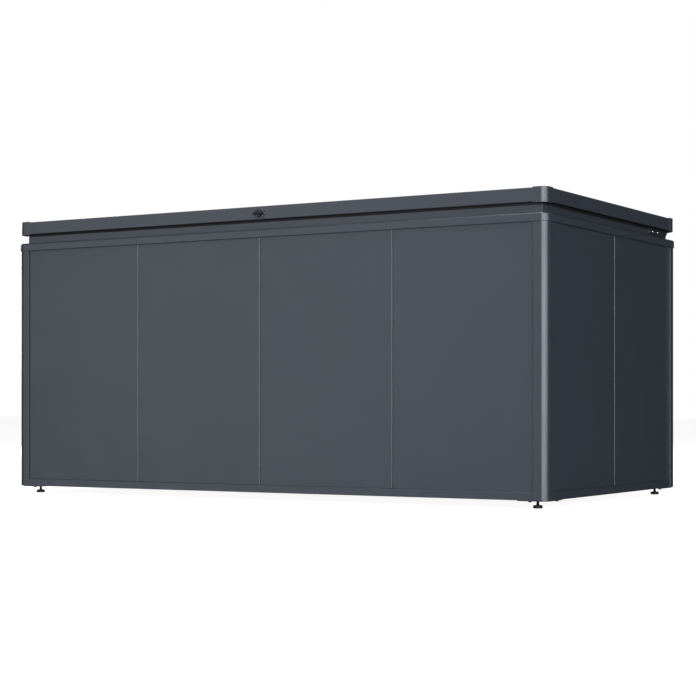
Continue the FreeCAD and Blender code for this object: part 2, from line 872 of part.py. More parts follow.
def hinge_arm(name, side):
    """Angle in the lid: an upright with the pivot eye and a flange under the side rail."""
    body = new_body("lid_arm_" + name)
    thick = s.plate_thick
    start = ARM_INNER if side > 0 else -ARM_INNER - thick
    pivot = hinge_y(s.pivot_inset)
    front = hinge_y(s.arm_length)
    rear = hinge_y(s.lid_inset + LID_CORNER)
    eye = s.eye_radius
    low = FLANGE_UNDER - s.arm_drop
    upright = new_sketch(body, "YZ_Plane", start)
    outline(upright, [
        (front, FLANGE_UNDER - s.arm_toe), (rear, low),
        (pivot, PIVOT_LEVEL - eye), (pivot, PIVOT_LEVEL + eye),
        (rear, FLANGE_UNDER), (front, FLANGE_UNDER),
    ])
    pad(body, upright, thick)
    eye_sketch = new_sketch(body, "YZ_Plane", start)
    circle(eye_sketch, pivot, PIVOT_LEVEL, 2 * eye)
    pad(body, eye_sketch, thick)
    flange = new_sketch(body, "XY_Plane", FLANGE_UNDER - s.skirt_wall)
    near = side * ARM_INNER
    far = side * (LID_SIDE_INNER - s.fit_gap)
    low_x, high_x = (near, far) if side > 0 else (far, near)
    rectangle(flange, low_x, high_x, front, rear)
    pad(body, flange, s.skirt_wall)
    hole = new_sketch(body, "YZ_Plane", start)
    circle(hole, pivot, PIVOT_LEVEL, PIN_HOLE)
    pocket(body, hole, thick, reverse=True)
    place(body, 0, 0, s.ground_gap)
    keep(body)


def hinge_pin(index, side):
    """Hexagon-headed pin, pushed in from outside through the arm and the plate."""
    body = new_body("hinge_pin_" + str(index))
    inner = HALF_WIDTH - s.upstand_inset - s.fit_gap
    outer = ARM_INNER + s.plate_thick + s.fit_gap
    length = outer - inner
    shank = new_sketch(body, "YZ_Plane")
    circle(shank, 0, 0, s.pin_diameter)
    pad(body, shank, length)
    head = new_sketch(body, "YZ_Plane", length)
    hexagon(head, as_size(0), as_size(0), s.pin_head)
    pad(body, head, s.pin_head_height)
    turn = 0 if side > 0 else HALF_TURN
    place(body, side * inner, hinge_y(s.pivot_inset), s.ground_gap + PIVOT_LEVEL, turn)
    return body


# Gas springs: the cylinder hangs from the lid, the rod reaches down to an anchor on the frame

SPRING_X = HALF_WIDTH - s.spring_inset
EYE_HALF = s.eye_width / 2
LID_STUD = (hinge_y(s.pivot_inset + s.stud_reach), PIVOT_LEVEL - s.stud_drop)
ANCHOR = (hinge_y(s.pivot_inset + s.anchor_reach), PIVOT_LEVEL - s.anchor_drop)
SPAN_Y = ANCHOR[0] - LID_STUD[0]
SPAN_Z = LID_STUD[1] - ANCHOR[1]
SPAN = root(SPAN_Y * SPAN_Y + SPAN_Z * SPAN_Z)
SPRING_TURN = Size(
    math.degrees(math.atan2(SPAN_Y.number, SPAN_Z.number)),
    f"atan2({SPAN_Y.text}; {SPAN_Z.text})",
)
LID_BRACKET_X = HALF_WIDTH - s.lid_inset - LID_CORNER


def lean(body, side, stud):
    """Stand a spring part, drawn hanging from the stud, along the line between the studs."""
    place(body, side * SPRING_X, stud[0], s.ground_gap + stud[1], SPRING_TURN, (1, 0, 0))


def gas_cylinder(name, side):
    body = new_body("gas_cylinder_" + name)
    start = s.cylinder_start
    end = start + s.cylinder_length
    radius = s.cylinder_diameter / 2
    neck = s.neck_diameter / 2
    bore = s.rod_diameter / 2 + s.running_gap
    eye = new_sketch(body, "YZ_Plane")
    circle(eye, 0, 0, 2 * s.eye_outer)
    pad(body, eye, s.eye_width, "Symmetric")
    tube = new_sketch(body, "XZ_Plane")
    outline(tube, [
        (0, -s.eye_outer + s.fit_gap), (neck, -s.eye_outer + s.fit_gap), (neck, -start),
        (radius, -start), (radius, -end), (bore, -end),
        (bore, -end + s.bore_depth), (0, -end + s.bore_depth),
    ])
    revolve(body, tube)
    hole = new_sketch(body, "YZ_Plane")
    circle(hole, 0, 0, s.stud_diameter + 2 * s.running_gap)
    pocket(body, hole, s.eye_width, "Symmetric")
    lean(body, side, LID_STUD)
    keep(body)


def gas_rod(name, side):
    """Chrome rod with the lower eye and its ball stud, drawn from the anchor upwards."""
    body = new_body("gas_rod_" + name)
    half = s.rod_diameter / 2
    rod_top = SPAN - s.cylinder_start - s.cylinder_length + s.rod_inside
    rod = new_sketch(body, "XZ_Plane")
    rectangle(rod, as_size(0), half, as_size(0), rod_top)
    revolve(body, rod)
    eye = new_sketch(body, "YZ_Plane")
    circle(eye, 0, 0, 2 * s.eye_outer)
    pad(body, eye, s.eye_width, "Symmetric")
    stud = new_sketch(body, "YZ_Plane")
    circle(stud, 0, 0, s.stud_diameter)
    reach = ANCHOR_FACE - SPRING_X - s.stud_gap
    pad(body, stud, reach, reverse=side < 0)
    lean(body, side, ANCHOR)
    keep(body)


ANCHOR_FACE = LID_BRACKET_X - s.bracket_sheet


def lid_bracket(index, side):
    """Angle on the side rail's leg, with the stud that the cylinder's eye turns on."""
    body = new_body("lid_bracket_" + str(index))
    thick = s.bracket_sheet
    start = LID_BRACKET_X - thick if side > 0 else -LID_BRACKET_X
    y, z = LID_STUD
    half = s.lid_bracket_width / 2
    bend = s.lid_bracket_round
    low = z - bend
    high = FLANGE_UNDER
    plate = new_sketch(body, "YZ_Plane", start)
    outline(plate, [
        (y - bend, low + bend, (y, low + bend)), (y, low, (y, low + bend)), (y + bend, low + bend),
        (y + half, high), (y - half, high),
    ])
    pad(body, plate, thick)
    inner = SPRING_X - EYE_HALF - s.fit_gap
    stud = new_sketch(body, "YZ_Plane", side * (inner - s.stud_head_height))
    circle(stud, y, z, s.stud_diameter)
    pad(body, stud, LID_BRACKET_X - thick - inner + s.stud_head_height, reverse=side < 0)
    head = new_sketch(body, "YZ_Plane", side * (inner - s.stud_head_height))
    hexagon(head, y, z, s.stud_head)
    pad(body, head, s.stud_head_height, reverse=side < 0)
    place(body, 0, 0, s.ground_gap)
    return body


def anchor_bracket(index, side):
    """Plate that hangs from the side rail's inner leg, joggled inwards to the spring's plane."""
    body = new_body("anchor_bracket_" + str(index))
    thick = s.bracket_sheet
    outer = HALF_WIDTH - CORE
    face = ANCHOR_FACE
    high = RIM_TOP - s.frame_wall
    fold = RIM_TOP - s.frame_leg
    y, z = ANCHOR
    low = z - s.anchor_round
    half = s.anchor_width / 2
    section = new_sketch(body, "XZ_Plane")
    outline(section, [
        (face, low), (face + thick, low), (face + thick, fold - thick), (outer, fold - thick),
        (outer, high), (outer - thick, high), (outer - thick, fold), (face, fold),
    ])
    pad(body, section, 2 * half, "Symmetric")
    dress(body, "Fillet", s.anchor_round, lambda edge: (
        flat_at(edge, low.number) and abs(edge.Vertexes[0].Y - edge.Vertexes[-1].Y) < NEAR
    ))
    turn = 0 if side > 0 else HALF_TURN
    place(body, 0, y, s.ground_gap, turn)
    return body


# Lock: escutcheon and barrel in the skirt, knob with a wing grip, hook cam and striker

LOCK_LEVEL = LID_LOW + s.lock_level
LID_FRONT = HALF_DEPTH - s.lid_inset
CAM_START = s.skirt_wall + s.barrel_length + s.fit_gap
STRIKER_LEVEL = LOCK_LEVEL - s.cam_reach + s.cam_hook + s.striker_gap


def at_lock(body):
    place(body, 0, -LID_FRONT, s.ground_gap + LOCK_LEVEL)


def lock_escutcheon():
    body = new_body("lock_escutcheon")
    plate = new_sketch(body, "XZ_Plane")
    stadium(plate, s.escutcheon_width, s.escutcheon_height)
    pad(body, plate, s.escutcheon_thick)
    barrel = new_sketch(body, "XZ_Plane")
    circle(barrel, 0, 0, s.barrel_diameter)
    pad(body, barrel, s.skirt_wall + s.barrel_length, reverse=True)
    bore = new_sketch(body, "XZ_Plane", -s.skirt_wall - s.barrel_length)
    circle(bore, 0, 0, s.shaft_diameter + 2 * s.running_gap)
    pocket(body, bore, s.skirt_wall + s.barrel_length + s.escutcheon_thick, reverse=True)
    at_lock(body)
    keep(body)


def lock_nut():
    body = new_body("lock_nut")
    sketch = new_sketch(body, "XZ_Plane", -s.skirt_wall - s.nut_thick)
    hexagon(sketch, as_size(0), as_size(0), s.nut_width)
    circle(sketch, 0, 0, s.barrel_diameter + 2 * s.running_gap)
    pad(body, sketch, s.nut_thick)
    place(body, 0, -LID_FRONT, s.ground_gap + LOCK_LEVEL, NUT_TURN, (0, 1, 0))
    keep(body)


def lock_knob():
    """Round base, wing grip and the shaft, squared at its end where the cam sits."""
    body = new_body("lock_knob")
    base_start = s.escutcheon_thick + s.fit_gap
    base = new_sketch(body, "XZ_Plane", base_start)
    circle(base, 0, 0, s.knob_diameter)
    pad(body, base, s.knob_thick)
    grip = new_sketch(body, "XZ_Plane", base_start)
    stadium(grip, s.grip_length, s.grip_width)
    pad(body, grip, s.grip_height)
    shaft = new_sketch(body, "XZ_Plane", base_start)
    circle(shaft, 0, 0, s.shaft_diameter)
    pad(body, shaft, base_start + s.skirt_wall + s.barrel_length, reverse=True)
    square = new_sketch(body, "XZ_Plane", base_start)
    half = s.shaft_square / 2
    rectangle(square, -half, half, -half, half)
    pad(body, square, base_start + CAM_START + s.cam_thick, reverse=True)
    at_lock(body)
    keep(body)


def lock_cam():
    """Hook cam: the arm points left when unlocked and turns down to catch the striker."""
    body = new_body("lock_cam")
    half = s.cam_width / 2
    reach = s.cam_reach
    hook = s.cam_hook
    sketch = new_sketch(body, "XZ_Plane", -CAM_START - s.cam_thick)
    outline(sketch, [
        (-reach, -s.cam_foot), (hook - reach, -s.cam_foot), (hook - reach, -half),
        (0, -half, (0, 0)), (half, 0, (0, 0)), (0, half), (-reach, half),
    ])
    pad(body, sketch, s.cam_thick)
    head = new_sketch(body, "XZ_Plane", -CAM_START - s.cam_thick)
    hexagon(head, as_size(0), as_size(0), s.cam_screw)
    pad(body, head, s.cam_screw_height, reverse=True)
    hole = new_sketch(body, "XZ_Plane", -CAM_START - s.cam_thick)
    square = s.shaft_square / 2 + s.running_gap
    rectangle(hole, -square, square, -square, square)
    pocket(body, hole, s.cam_thick, reverse=True)
    at_lock(body)
    keep(body)


def striker():
    body = new_body("lock_striker")
    thick = s.striker_sheet
    side = s.striker_side
    low = STRIKER_LEVEL
    leg = new_sketch(body, "XZ_Plane", HALF_DEPTH - LIP_OUTER)
    rectangle(leg, side, side + s.striker_width, low, low + s.striker_height)
    pad(body, leg, thick)
    tab = new_sketch(body, "XZ_Plane", HALF_DEPTH - LIP_OUTER)
    rectangle(tab, side, side + s.striker_tab, low, low + thick)
    pad(body, tab, LIP_OUTER - s.striker_reach)
    place(body, 0, 0, s.ground_gap)
    keep(body)


# Levelling feet: a foot plate with a weld nut under each corner, and the screwed foot

def foot_plate(index, x, y):
    """Drawn for the front left; x and y say which way it is mirrored."""
    body = new_body("foot_plate_" + str(index))
    thick = s.foot_plate_thick
    cut = s.foot_plate_cut
    edge = s.rail_recess + s.rail_wall
    far_x = s.foot_plate_x
    far_y = s.foot_plate_y
    hole = s.stem_diameter + 2 * s.running_gap
    points = [
        (edge + cut, edge), (far_x, edge), (far_x, far_y - cut), (far_x - cut, far_y),
        (edge, far_y), (edge, edge + cut),
    ]
    base = new_sketch(body, "XY_Plane")
    outline(base, [(x * px, y * py) for px, py in points])
    pad(body, base, thick, reverse=True)
    nut = new_sketch(body, "XY_Plane")
    hexagon(nut, x * s.foot_inset, y * s.foot_inset, s.foot_nut)
    pad(body, nut, s.foot_nut_height)
    bore = new_sketch(body, "XY_Plane", s.foot_nut_height)
    circle(bore, x * s.foot_inset, y * s.foot_inset, hole)
    pocket(body, bore, s.foot_nut_height + thick)
    place(body, -x * HALF_WIDTH, -y * HALF_DEPTH, s.ground_gap)
    return body


def foot_screw(index, x, y):
    body = new_body("foot_screw_" + str(index))
    low = -s.foot_plate_thick
    head = new_sketch(body, "XY_Plane", low)
    hexagon(head, as_size(0), as_size(0), s.foot_screw_head)
    pad(body, head, s.foot_screw_height, reverse=True)
    place(body, x, y, s.ground_gap)
    return body


def levelling_foot(name, x, y):
    """Screwed stem on a disc that rests on the ground; the disc's facets are kept few."""
    body = new_body("levelling_foot_" + name)
    disc = new_sketch(body, "XY_Plane", -s.ground_gap)
    polygon(disc, as_size(0), as_size(0), s.disc_diameter / 2, DISC_SIDES)
    pad(body, disc, s.disc_height)
    stem = new_sketch(body, "XY_Plane", -s.ground_gap)
    circle(stem, 0, 0, s.stem_diameter)
    pad(body, stem, s.ground_gap + s.stem_above)
    place(body, x, y, s.ground_gap)
    keep(body)


def build_model():
    for name, x, y, turn in corner_places():
        corner_post(name, x, y, turn)
    for name, x, y, turn, length in side_places():
        bottom_rail(name, x, y, turn, length)
        top_rail(name, x, y, turn, length)
    long_wall("front", -1, 0)
    long_wall("rear", 1, HALF_TURN)
    short_wall("right", 1, QUARTER)
    short_wall("left", -1, -QUARTER)
    floor_sheets()
    beams = int(s.front_panels.number) - 1
    group("floor_beams", [floor_beam(index + 1, beams) for index in range(beams)])
    group("top_frame_corners", [
        top_corner(index + 1, x, y, turn) for index, (_, x, y, turn) in enumerate(corner_places())
    ])
    lid_seal()
    for name, x, y, turn, length in side_places(s.lid_inset):
        lid_rail(name, x, y, turn, length)
    group("lid_corners", [
        lid_corner(index + 1, x, y, turn)
        for index, (_, x, y, turn) in enumerate(corner_places(s.lid_inset))
    ])
    lid_sheet()
    stiffeners = int(s.stiffener_count.number)
    group("lid_stiffeners", [lid_stiffener(index + 1, stiffeners) for index in range(stiffeners)])
    sides = (("right", 1), ("left", -1))
    for name, side in sides:
        hinge_plate(name, side)
        hinge_arm(name, side)
        gas_cylinder(name, side)
        gas_rod(name, side)
    group("hinge_pins", [hinge_pin(index + 1, side) for index, (_, side) in enumerate(sides)])
    spots = [(side, distance) for _, side in sides for distance in (s.screw_front, s.screw_rear)]
    group("hinge_screws", [
        hinge_screw(index + 1, side, distance) for index, (side, distance) in enumerate(spots)
    ])
    group("lid_spring_brackets", [lid_bracket(index + 1, side) for index, (_, side) in enumerate(sides)])
    group("spring_anchors", [anchor_bracket(index + 1, side) for index, (_, side) in enumerate(sides)])
    lock_escutcheon()
    lock_nut()
    lock_knob()
    lock_cam()
    striker()
    corners = (("front_left", 1, 1), ("front_right", -1, 1), ("rear_right", -1, -1), ("rear_left", 1, -1))
    group("foot_plates", [foot_plate(index + 1, x, y) for index, (_, x, y) in enumerate(corners)])
    screws = []
    for _, x, y in corners:
        for sx, sy in ((s.foot_screw_x, s.foot_screw_inset), (s.foot_screw_inset, s.foot_screw_y)):
            screws.append(foot_screw(len(screws) + 1, x * (sx - HALF_WIDTH), y * (sy - HALF_DEPTH)))
    group("foot_screws", screws)
    for name, x, y in corners:
        levelling_foot(name, x * (s.foot_inset - HALF_WIDTH), y * (s.foot_inset - HALF_DEPTH))


def check_model():
    """Stop if anything failed to build."""
    for thing in doc.Objects:
        if "Invalid" in thing.State or "Error" in thing.State:
            raise RuntimeError(f"{thing.Label} did not build: {thing.State}")
    for node in NODES:
        if node.Shape.isNull() or not node.Shape.isValid():
            raise RuntimeError(f"{node.Label} has no valid shape")
    labels = [node.Label for node in NODES]
    if len(set(labels)) != len(labels):
        raise RuntimeError("two pieces share a name")


def write_parts():
    os.makedirs("parts", exist_ok=True)
    for node in NODES:
        node.Shape.exportStep(f"parts/{node.Label}.step")


build_model()
doc.recompute()
check_model()
write_parts()
print(len(NODES), "nodes written")
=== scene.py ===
import json
import math

import bmesh
import bpy
from mathutils import Matrix, Vector


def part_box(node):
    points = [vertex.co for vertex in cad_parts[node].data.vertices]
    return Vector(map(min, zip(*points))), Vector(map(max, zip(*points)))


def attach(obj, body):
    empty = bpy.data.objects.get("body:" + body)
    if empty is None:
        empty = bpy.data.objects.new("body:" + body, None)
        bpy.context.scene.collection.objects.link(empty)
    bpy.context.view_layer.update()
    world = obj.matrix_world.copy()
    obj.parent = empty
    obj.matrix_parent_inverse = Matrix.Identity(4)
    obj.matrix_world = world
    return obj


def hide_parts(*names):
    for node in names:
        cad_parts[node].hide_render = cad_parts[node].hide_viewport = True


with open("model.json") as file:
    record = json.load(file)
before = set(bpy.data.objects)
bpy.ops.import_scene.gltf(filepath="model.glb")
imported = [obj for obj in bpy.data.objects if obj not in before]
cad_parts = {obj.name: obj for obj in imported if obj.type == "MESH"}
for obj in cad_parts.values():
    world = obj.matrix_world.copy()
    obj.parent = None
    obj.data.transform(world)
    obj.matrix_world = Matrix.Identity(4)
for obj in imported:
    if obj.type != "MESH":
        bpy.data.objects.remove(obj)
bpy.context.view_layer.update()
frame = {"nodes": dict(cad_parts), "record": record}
NODES = frame["nodes"]
RECORD = frame["record"]
BODY_OF = {
    node: body for body, nodes in RECORD["behaviour"]["bodies"].items() for node in nodes
}
SLOT_OF = {part["node"]: part["material_slot"] for part in RECORD["subparts"]}
JOINTS = {joint["name"]: joint for joint in RECORD["behaviour"]["joints"]}

MM = 0.001

SAME_POINT = 1e-7       # drawn points closer than this are one
SOLID_WELD = 1e-6       # the same for the solids' triangles
OFF_CENTRE = 1e-6       # a point further out than this isn't on the middle plane
LEVEL_FACES = 0.4       # degrees within which the solids' triangles are one face
LARGE_FACE_PULL = 60    # how much more a large face counts in the shading than its bevels
FACING = 0.9            # a face whose normal has this much of an axis looks along it
SMOOTH_ANGLE = 30       # degrees: sharper edges stay sharp in the shading, or are eased

# Sides of turned pieces, by how large they look
FEW, SOME, MANY = 32, 48, 64

# Finish colours, as linear values
ANTHRACITE = (0.0234, 0.0275, 0.0370, 1)
HINGE_GREY = (0.0120, 0.0135, 0.0175, 1)
INNER_GREY = (0.0330, 0.0370, 0.0480, 1)
LOCK_BLACK = (0.0025, 0.0027, 0.0030, 1)
LOCK_GREY = (0.0250, 0.0280, 0.0360, 1)
TUBE_BLACK = (0.0050, 0.0050, 0.0055, 1)
RUBBER_BLACK = (0.0065, 0.0065, 0.0070, 1)
FOOT_BLACK = (0.0045, 0.0046, 0.0050, 1)
BLACKENED = (0.0300, 0.0305, 0.0325, 1)
ZINC_GREY = (0.440, 0.455, 0.480, 1)
STEEL_GREY = (0.600, 0.600, 0.610, 1)
CHROME_GREY = (0.700, 0.710, 0.730, 1)

# Light colours
DAYLIGHT = (0.93, 0.97, 1.0)
WHITE = (1, 1, 1, 1)


# Bench: selecting, shaping and finishing by hand

def deselect():
    """Leave any open piece and clear the selection."""
    if bpy.context.object and bpy.context.object.mode != "OBJECT":
        bpy.ops.object.mode_set(mode="OBJECT")
    bpy.ops.object.select_all(action="DESELECT")


def only(piece):
    """Make this the one selected and active object."""
    deselect()
    piece.select_set(True)
    bpy.context.view_layer.objects.active = piece


def edit(piece, mode="FACE", action="SELECT"):
    """Open a piece with all its points, edges or faces picked, or none."""
    only(piece)
    bpy.ops.object.mode_set(mode="EDIT")
    bpy.ops.mesh.select_mode(type=mode)
    bpy.ops.mesh.select_all(action=action)


def pick(piece, kind, test):
    """Open a piece with only the points, edges or faces that the test picks."""
    edit(piece, {"verts": "VERT", "edges": "EDGE", "faces": "FACE"}[kind], "DESELECT")
    shape = bmesh.from_edit_mesh(piece.data)
    for part in getattr(shape, kind):
        part.select_set(bool(test(part)))
    shape.select_flush_mode()
    bmesh.update_edit_mesh(piece.data)


def close():
    """Leave an open piece."""
    bpy.ops.object.mode_set(mode="OBJECT")


def settle(piece, place=None):
    """Put a piece's place into its mesh, so its object sits at the origin."""
    only(piece)
    bpy.ops.object.transform_apply(location=True, rotation=True, scale=True)
    if place is not None:
        piece.data.transform(place)
        if place.determinant() < 0:
            edit(piece)
            bpy.ops.mesh.normals_make_consistent(inside=False)
            close()
    return piece


def apply_modifiers(piece):
    """Make what the modifiers do part of the mesh."""
    only(piece)
    for modifier in list(piece.modifiers):
        bpy.ops.object.modifier_apply(modifier=modifier.name)


def shade(piece, angle=SMOOTH_ANGLE):
    """Smooth the small bends and keep the large faces flat."""
    only(piece)
    bpy.ops.object.shade_smooth_by_angle(angle=math.radians(angle))
    modifier = piece.modifiers.new("flat faces", "WEIGHTED_NORMAL")
    modifier.weight = LARGE_FACE_PULL
    modifier.keep_sharp = True
    apply_modifiers(piece)


def ease(piece, width, segments=2, angle=SMOOTH_ANGLE):
    """Round every edge sharper than the angle, by an even width."""
    modifier = piece.modifiers.new("eased edges", "BEVEL")
    modifier.width = width
    modifier.segments = segments
    modifier.limit_method = "ANGLE"
    modifier.angle_limit = math.radians(angle)
    modifier.use_clamp_overlap = False
    modifier.loop_slide = False
    apply_modifiers(piece)


def combine(piece, other, operation="DIFFERENCE"):
    """Cut another closed shape out of a piece, fuse the two, or keep what they share."""
    modifier = piece.modifiers.new("combined", "BOOLEAN")
    modifier.operation = operation
    modifier.object = other
    modifier.solver = "EXACT"
    apply_modifiers(piece)
    bpy.data.objects.remove(other)


def join(name, pieces):
    """Make several pieces one object, with the materials that each of them wears."""
    deselect()
    for piece in pieces:
        piece.select_set(True)
    bpy.context.view_layer.objects.active = pieces[0]
    if len(pieces) > 1:
        bpy.ops.object.join()
    pieces[0].name = name
    pieces[0].data.name = name
    return pieces[0]


def twin(piece, place):
    """A copy with its own mesh, somewhere else."""
    copy = bpy.data.objects.new(piece.name + "_twin", piece.data.copy())
    bpy.context.scene.collection.objects.link(copy)
    return settle(copy, place)


def move(x, y, z):
    return Matrix.Translation((x, y, z))


def turn(degrees, axis):
    return Matrix.Rotation(math.radians(degrees), 4, axis)


def start_piece(name):
    """Name the shape that was just added."""
    piece = bpy.context.object
    piece.name = name
    piece.data.name = name
    return piece


def weld():
    """Make points in the same place one and turn all faces outwards, in an open piece."""
    bpy.ops.mesh.select_all(action="SELECT")
    bpy.ops.mesh.remove_doubles(threshold=SAME_POINT)
    bpy.ops.mesh.normals_make_consistent(inside=False)
    close()


def turned(name, profile, sides, through=False):
    """Turn (radius, height) pairs about Z: a circle is extruded and scaled from step to step.
    A through profile comes back to its first pair and leaves a bore."""
    deselect()
    radius, height = profile[0]
    bpy.ops.mesh.primitive_circle_add(
        vertices=sides, radius=radius, fill_type="NOTHING" if through else "NGON",
        location=(0, 0, height))
    piece = start_piece(name)
    edit(piece, "EDGE" if through else "FACE")
    for wide, high in profile[1:]:
        step = {"value": (0, 0, high - height)}
        if through:
            bpy.ops.mesh.extrude_edges_move(TRANSFORM_OT_translate=step)
        else:
            bpy.ops.mesh.extrude_region_move(TRANSFORM_OT_translate=step)
        scale = (wide / radius, wide / radius, 1)
        bpy.ops.transform.resize(value=scale, center_override=(0, 0, high))
        radius, height = wide, high
    weld()
    settle(piece)
    shade(piece)
    return piece


def framed(name, section, half_x, half_y):
    """Carry a closed section of (inset, height) pairs round a rectangle, mitred at its corners."""
    deselect()
    inset, height = section[0]
    bpy.ops.mesh.primitive_plane_add(size=2, location=(0, 0, height))
    piece = start_piece(name)
    piece.scale = (half_x - inset, half_y - inset, 1)
    settle(piece)
    edit(piece)
    bpy.ops.mesh.delete(type="ONLY_FACE")
    bpy.ops.mesh.select_all(action="SELECT")
    for next_inset, next_height in section[1:] + section[:1]:
        step = {"value": (0, 0, next_height - height)}
        bpy.ops.mesh.extrude_edges_move(TRANSFORM_OT_translate=step)
        scale_x = (half_x - next_inset) / (half_x - inset)
        scale_y = (half_y - next_inset) / (half_y - inset)
        bpy.ops.transform.resize(value=(scale_x, scale_y, 1), center_override=(0, 0, next_height))
        inset, height = next_inset, next_height
    weld()
    settle(piece)
    return piece


def slot_block(name, length, width, low, high, sides):
    """Block with round ends, lying along X: a cylinder pulled apart."""
    deselect()
    bpy.ops.mesh.primitive_cylinder_add(
        vertices=sides, radius=width / 2, depth=high - low, location=(0, 0, (low + high) / 2))
    piece = start_piece(name)
    settle(piece)
    for side in (-1, 1):
        pick(piece, "verts", lambda vert: vert.co.x * side > OFF_CENTRE)
        bpy.ops.transform.translate(value=(side * (length - width) / 2, 0, 0))
        close()
    return piece


def prism(name, sides, across, low, high):
    """Straight prism on Z, by its width across the flats, with flats left and right."""
    deselect()
    bpy.ops.mesh.primitive_cylinder_add(
        vertices=sides, radius=across / 2 / math.cos(math.pi / sides), depth=high - low,
        location=(0, 0, (low + high) / 2))
    return settle(start_piece(name))


# Finish groups: each effect is built once and gets its own values in each material

# Patterns: how many fit a metre, and how deep their relief is in metres
CLOUD_SCALE = 3.5
FLECK_SCALE = 1600
DULLNESS_SCALE = 9
WAVE_SCALE, WAVE_DEPTH = 2.6, 0.004
PEEL_SCALE, PEEL_DEPTH = 620, 0.00012
DRAWN_SCALE, DRAWN_DEPTH = (300, 300, 4000), 0.00005
WORN_SCALE = 45
GRAIN_SCALE, GRAIN_DEPTH = 1400, 0.0001
COAT_GLOSS = 0.12


def new_group(name, inputs):
    """A group that takes the inputs and gives a colour, a roughness and a normal."""
    group = bpy.data.node_groups.new(name, "ShaderNodeTree")
    for label, kind, value in inputs:
        socket = group.interface.new_socket(name=label, in_out="INPUT", socket_type=kind)
        socket.default_value = value
    for label, kind in (("Colour", "NodeSocketColor"), ("Roughness", "NodeSocketFloat"),
                        ("Normal", "NodeSocketVector")):
        group.interface.new_socket(name=label, in_out="OUTPUT", socket_type=kind)
    return group, group.nodes.new("NodeGroupInput"), group.nodes.new("NodeGroupOutput")


def noise(tree, place, scale, detail=2, rough=0.5):
    """A soft random pattern."""
    node = tree.nodes.new("ShaderNodeTexNoise")
    node.inputs["Scale"].default_value = scale
    node.inputs["Detail"].default_value = detail
    node.inputs["Roughness"].default_value = rough
    tree.links.new(place, node.inputs["Vector"])
    return node.outputs["Fac"]


def between(tree, value, low, high, start=0.3, end=0.7):
    """Spread a pattern's value between two numbers or two sockets."""
    node = tree.nodes.new("ShaderNodeMapRange")
    node.inputs["From Min"].default_value = start
    node.inputs["From Max"].default_value = end
    for label, number in (("To Min", low), ("To Max", high)):
        if isinstance(number, (int, float)):
            node.inputs[label].default_value = number
        else:
            tree.links.new(number, node.inputs[label])
    tree.links.new(value, node.inputs["Value"])
    return node.outputs["Result"]


def product(tree, first, second):
    """Two patterns multiplied."""
    node = tree.nodes.new("ShaderNodeMath")
    node.operation = "MULTIPLY"
    tree.links.new(first, node.inputs[0])
    tree.links.new(second, node.inputs[1])
    return node.outputs[0]


def toned(tree, colour, value):
    """A colour made lighter or darker by a pattern."""
    node = tree.nodes.new("ShaderNodeHueSaturation")
    tree.links.new(colour, node.inputs["Color"])
    tree.links.new(value, node.inputs["Value"])
    return node.outputs["Color"]


def relief(tree, height, strength, distance, under=None):
    """A pattern as a fine relief, on top of another where one is given."""
    node = tree.nodes.new("ShaderNodeBump")
    node.inputs["Distance"].default_value = distance
    tree.links.new(strength, node.inputs["Strength"])
    tree.links.new(height, node.inputs["Height"])
    if under is not None:
        tree.links.new(under, node.inputs["Normal"])
    return node.outputs["Normal"]


def powder_coat_group():
    """Baked powder coat: orange peel, fine flecks, faint clouds, and slow waves on sheet."""
    group, given, out = new_group("powder coat", [
        ("Colour", "NodeSocketColor", ANTHRACITE), ("Gloss low", "NodeSocketFloat", 0.34),
        ("Gloss high", "NodeSocketFloat", 0.46), ("Peel", "NodeSocketFloat", 0.2),
        ("Waves", "NodeSocketFloat", 0.0),
    ])
    place = group.nodes.new("ShaderNodeTexCoord").outputs["Object"]
    clouds = noise(group, place, CLOUD_SCALE, 3, 0.55)
    flecks = noise(group, place, FLECK_SCALE, 1)
    tone = product(group, between(group, clouds, 0.96, 1.04), between(group, flecks, 0.93, 1.07))
    group.links.new(toned(group, given.outputs["Colour"], tone), out.inputs["Colour"])
    dullness = noise(group, place, DULLNESS_SCALE, 4, 0.6)
    dull = between(group, dullness, given.outputs["Gloss low"], given.outputs["Gloss high"])
    group.links.new(dull, out.inputs["Roughness"])
    waves = noise(group, place, WAVE_SCALE, 1, 0.4)
    slow = relief(group, waves, given.outputs["Waves"], WAVE_DEPTH)
    dimples = noise(group, place, PEEL_SCALE, 3, 0.6)
    peel = relief(group, dimples, given.outputs["Peel"], PEEL_DEPTH, slow)
    group.links.new(peel, out.inputs["Normal"])
    return group


